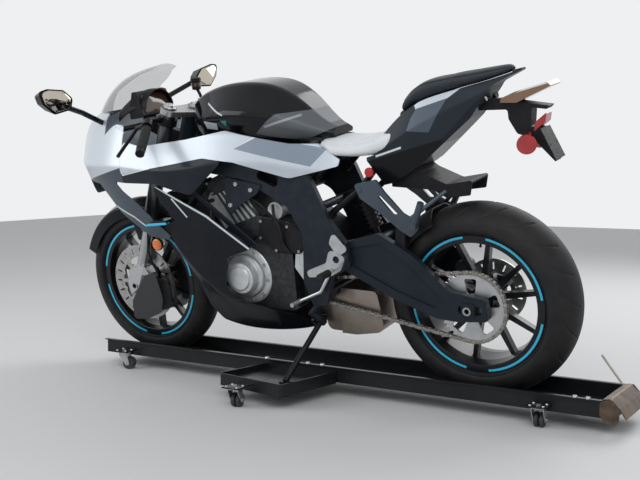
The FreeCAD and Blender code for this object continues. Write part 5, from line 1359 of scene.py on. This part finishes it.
@dataclass
class SmallFittings:
    """Reflectors, small wings, mirror glass, peg rubbers and knobs.

    Attributes:
        mirror: outline of the left mirror's face as y and z.
        mirror_x: where the faces stand along X.
    """

    mirror: tuple[tuple[float, float], ...] = ((360, 1014), (344, 1052), (384, 1086), (458, 1098),
                                               (500, 1092), (486, 1046), (440, 1007))
    mirror_x: float = 1356.6

    def build(self, w: Workshop) -> None:
        """Make every small fitting.

        Args:
            w: the workshop that makes the pieces.
        """
        self.reflectors(w)
        self.winglets(w)
        self.glass(w)
        self.rubbers(w)
        self.knobs(w)

    def reflectors(self, w: Workshop) -> None:
        """Set round orange reflectors beside the fork and a red one on the tail.

        Args:
            w: the workshop that makes the pieces.
        """
        lens = lathe([(-4, 0), (-4, 22), (3, 22), (5, 20), (6, 12), (6.4, 0)], 40)
        rim = lathe([(-6, 0), (-6, 24), (1.5, 24), (1.5, 21.5), (-3, 21.5), (-3, 0)], 40)
        spot = np.array([1262.0, 122.0, 470.0])
        for name, shape, slot, finish in (("lens", lens, "lamp_red", "lamp_orange"),
                                          ("holder", rim, "black_plastic", "")):
            w.make(f"fork_reflector_{name}", both(aim(shape, spot, LEFT)), slot, Body.STEERING, finish,
                   wrap="r")
        line = np.array([[1264, 117, 470], [1300, 112, 468], [1326, 106, 466]], float)
        stalk = sweep(line, 4.5, 12, 0.6)
        w.make("fork_reflector_stalks", both(stalk), "black_metal", Body.STEERING, wrap="c", caps=True)

    def winglets(self, w: Workshop) -> None:
        """Set the fairing's small wings, their coloured edges and the tail's square reflector.

        Args:
            w: the workshop that makes the pieces.
        """
        fin = slab([(1208, 570, 4), (1159, 592, 8), (995, 606, 6), (1085, 587, 30)], 196, 252, 1.5)
        edge = slab([(1216, 570, 3), (1172, 584, 3), (1086, 591, 3), (1090, 582, 3)], 234, 254, 1.2)
        w.make("winglets", both(fin), "gloss_black", Body.CHASSIS, wrap="c", caps=True)
        w.make("winglet_edges", both(edge), "gloss_black", Body.CHASSIS, "cyan_stripe", wrap="c",
               caps=True)
        square = slab([(-199, 857, 2), (-236, 886, 2), (-241, 915, 2), (-204, 886, 2)], -26, 26, 1.2)
        w.make("tail_reflector", square, "lamp_red", Body.CHASSIS, wrap="c", caps=True)

    def glass(self, w: Workshop) -> None:
        """Lay each mirror's glass behind its face: the outline drawn in and set 1 mm proud.

        Args:
            w: the workshop that makes the pieces.
        """
        face = np.array(self.mirror)
        middle = face.mean(0)
        small = (face - middle) * 0.86 + middle
        edge = rounded([(y, z, 14) for y, z in small], 5)
        rows = [np.stack([np.full(len(edge), x), e[:, 0], e[:, 1]], -1)
                for e, x in ((edge, self.mirror_x + 2), (edge, self.mirror_x),
                             (middle + (edge - middle) * 0.97, self.mirror_x - 1.0))]
        w.make("mirror_glass", both(np.stack(rows)), "black_plastic", Body.CHASSIS, "mirror_glass",
               wrap="c", caps=True)

    def rubbers(self, w: Workshop) -> None:
        """Turn ribbed sleeves for the rider's pegs.

        Args:
            w: the workshop that makes the pieces.
        """
        ribs = [(0, 0), (0, 10)]
        for k in range(9):
            ribs += [(2 + 6 * k, 12.4), (5.4 + 6 * k, 12.4), (6 + 6 * k, 10.8), (7.4 + 6 * k, 10.8)]
        ribs += [(58, 12.4), (60, 9), (60, 0)]
        sleeve = aim(lathe(ribs, 28), (452, 214, 432), LEFT)
        w.make("peg_rubbers", both(sleeve), "grip_rubber", Body.CHASSIS, wrap="r")

    def knobs(self, w: Workshop) -> None:
        """Turn the knurled red and black adjusters of the rear suspension.

        Args:
            w: the workshop that makes the pieces.
        """
        knurl = lathe([(0, 0), (0, 13), (2, 15), (10, 15), (12, 13), (12, 0)], 30)
        knurl[::2] *= np.array([1.06, 1.0, 1.06])
        for name, spot, slot, finish in (("spring_knob", (321, 115, 750), "lamp_red", "red_knob"),
                                         ("damper_knob", (200, 70, 925), "black_plastic", "")):
            w.make(name, aim(knurl, spot, LEFT), slot, Body.CHASSIS, finish, wrap="r")


@dataclass
class DollyHardware:
    """Bolts of the dolly's rails and caster plates, and the ramp's pin, in level millimetres.

    Attributes:
        casters: x and y of each caster.
        plate_top: height of the caster plates.
    """

    casters: tuple[tuple[float, float], ...] = ((1466, 173), (1466, -131), (-226, 173), (-226, -131),
                                                (716, 452))
    plate_top: float = 12.0

    def build(self, w: Workshop) -> None:
        """Set upright bolts along the rails and on the plates, and stand the pin at the ramp.

        Args:
            w: the workshop that makes the pieces.
        """
        spots = [(x, 148, 45) for x in (798, 622, 564, -330, -370)]
        w.bolts("rail_bolts", spots, UP, 8, "zinc_steel", Body.CHASSIS, level)
        reach = ((21, 17), (21, -17), (-21, 17), (-21, -17))
        corners = [(x + i, y + j, self.plate_top) for x, y in self.casters for i, j in reach]
        w.bolts("plate_bolts", corners, UP, 5, "zinc_steel", Body.CHASSIS, level)
        rod = np.array([(-341, -95, 133), (-360, -95, 108), (-384, -95, 77), (-406, -95, 49)], float)
        w.make("ramp_pin", sweep(rod, 4.0, 16), "zinc_steel", Body.CHASSIS, "pale_rod", wrap="c",
               caps=True, place=level)


@dataclass
class Studio:
    """Pale floor, soft lamps and the camera of the photograph.

    Attributes:
        camera_at: the camera's place in level millimetres.
        aim: the point that it faces.
        roll_deg: its turn about its own axis.
        lens: focal length in millimetres.
    """

    camera_at: tuple[float, float, float] = (-1212.5, 3016.4, 753.8)
    aim: tuple[float, float, float] = (662.9, 0.0, 468.6)
    roll_deg: float = -0.157
    lens: float = 55.16

    def floor(self) -> None:
        """Lay a plain pale floor under the casters."""
        mesh = bpy.data.meshes.new("floor")
        mesh.from_pydata([(-9, -9, 0), (9, -9, 0), (9, 9, 0), (-9, 9, 0)], [], [(0, 1, 2, 3)])
        obj = bpy.data.objects.new("floor", mesh)
        bpy.context.collection.objects.link(obj)
        material = bpy.data.materials.new("pale_floor")
        material.use_nodes = True
        shader = material.node_tree.nodes["Principled BSDF"]
        shader.inputs["Base Color"].default_value = (0.72, 0.72, 0.72, 1)
        shader.inputs["Roughness"].default_value = 0.7
        mesh.materials.append(material)
        obj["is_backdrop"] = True

    def world(self) -> None:
        """Make the surroundings an even pale grey, near white to the camera."""
        world = bpy.data.worlds.new("studio")
        bpy.context.scene.world = world
        world.use_nodes = True
        nodes, links = world.node_tree.nodes, world.node_tree.links
        plain, seen = nodes["Background"], nodes.new("ShaderNodeBackground")
        for node, colour, strength in ((plain, (0.75, 0.77, 0.80, 1), 0.55),
                                       (seen, (0.86, 0.87, 0.88, 1), 1.0)):
            node.inputs["Color"].default_value = colour
            node.inputs["Strength"].default_value = strength
        path = nodes.new("ShaderNodeLightPath")
        share = path.outputs["Is Camera Ray"]
        for ray in ("Is Transmission Ray", "Is Glossy Ray"):
            either = nodes.new("ShaderNodeMath")
            either.operation = "MAXIMUM"
            links.new(share, either.inputs[0])
            links.new(path.outputs[ray], either.inputs[1])
            share = either.outputs[0]
        mix = nodes.new("ShaderNodeMixShader")
        links.new(share, mix.inputs[0])
        links.new(plain.outputs[0], mix.inputs[1])
        links.new(seen.outputs[0], mix.inputs[2])
        links.new(mix.outputs[0], nodes["World Output"].inputs["Surface"])

    def lamp(self, name: str, at: Sequence[float], aim: Sequence[float], power: float,
             size: float) -> None:
        """Hang one square soft lamp that faces a point.

        Args:
            name: the lamp's name.
            at: its place in metres.
            aim: the point that it faces, in metres.
            power: watts.
            size: side of the square in metres.
        """
        light = bpy.data.lights.new(name, "AREA")
        light.energy = power
        light.size = size
        obj = bpy.data.objects.new(name, light)
        bpy.context.collection.objects.link(obj)
        obj.location = at
        obj.rotation_euler = (Vector(aim) - Vector(at)).to_track_quat("-Z", "Y").to_euler()

    def camera(self) -> None:
        """Set the camera where the photograph was taken from."""
        data = bpy.data.cameras.new("camera")
        data.lens = self.lens
        data.sensor_width = 36.0
        data.clip_end = 60.0
        obj = bpy.data.objects.new("camera", data)
        bpy.context.collection.objects.link(obj)
        at, aim = Vector(level(self.camera_at)), Vector(level(self.aim))
        turn = (aim - at).to_track_quat("-Z", "Y")
        obj.location = at
        obj.rotation_mode = "QUATERNION"
        obj.rotation_quaternion = turn @ Quaternion((0, 0, 1), math.radians(self.roll_deg))
        bpy.context.scene.camera = obj

    def build(self) -> None:
        """Build floor, surroundings, lamps and camera."""
        self.floor()
        self.world()
        self.lamp("key", (-2.2, 3.4, 3.6), (0, 0, 0.5), 80, 3.0)
        self.lamp("side", (3.2, 2.6, 2.2), (0, 0, 0.5), 50, 2.4)
        self.lamp("back", (-1.0, -3.6, 3.0), (0, 0, 0.6), 70, 2.6)
        self.camera()
        bpy.context.scene.view_settings.view_transform = "Standard"


def record_sizes(after: object) -> None:
    """Args:
        after: the box of everything that is built; not used.
    """
    def plain(box: object) -> list:
        """Return a box as nested lists of numbers."""
        return [[float(v) for v in corner] for corner in box]


def main() -> None:
    """Load the frame, dress it, build every sub-assembly and set the studio."""
    logging.basicConfig(level=logging.INFO, format="%(name)s: %(message)s")
    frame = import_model()
    shop = Paintshop()
    for part in frame["record"]["subparts"]:
        shop.dress(frame["nodes"][part["node"]], part["material_slot"])
    work = Workshop(shop)
    parts = (
        Tyre("front_tyre", FRONT_AXLE, Body.FRONT_WHEEL, 61, 303, 247, 49),
        Tyre("rear_tyre", REAR_AXLE, Body.REAR_WHEEL, 92, 321, 250, 75),
        WheelTrim("front_wheel", FRONT_AXLE, Body.FRONT_WHEEL, 49, disc_y=(74.4, -74.4)),
        WheelTrim("rear_wheel", REAR_AXLE, Body.REAR_WHEEL, 75),
        Chain(),
        Cushion("rider_seat", "seat_white", RIDER_SEAT, seams=(0.36, 0.7)),
        Cushion("passenger_seat", "seat_blue_grey", PASSENGER_SEAT, swell=3.0, seams=(0.55,)),
        Cockpit(), SideFittings(), Radiator(), SmallFittings(), DollyHardware(),
    )
    for part in parts:
        part.build(work)
    LOG.info("%d pieces' triangles in all", work.count)
    Studio().build()
    record_sizes(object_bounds())


if __name__ == "__main__":
    main()
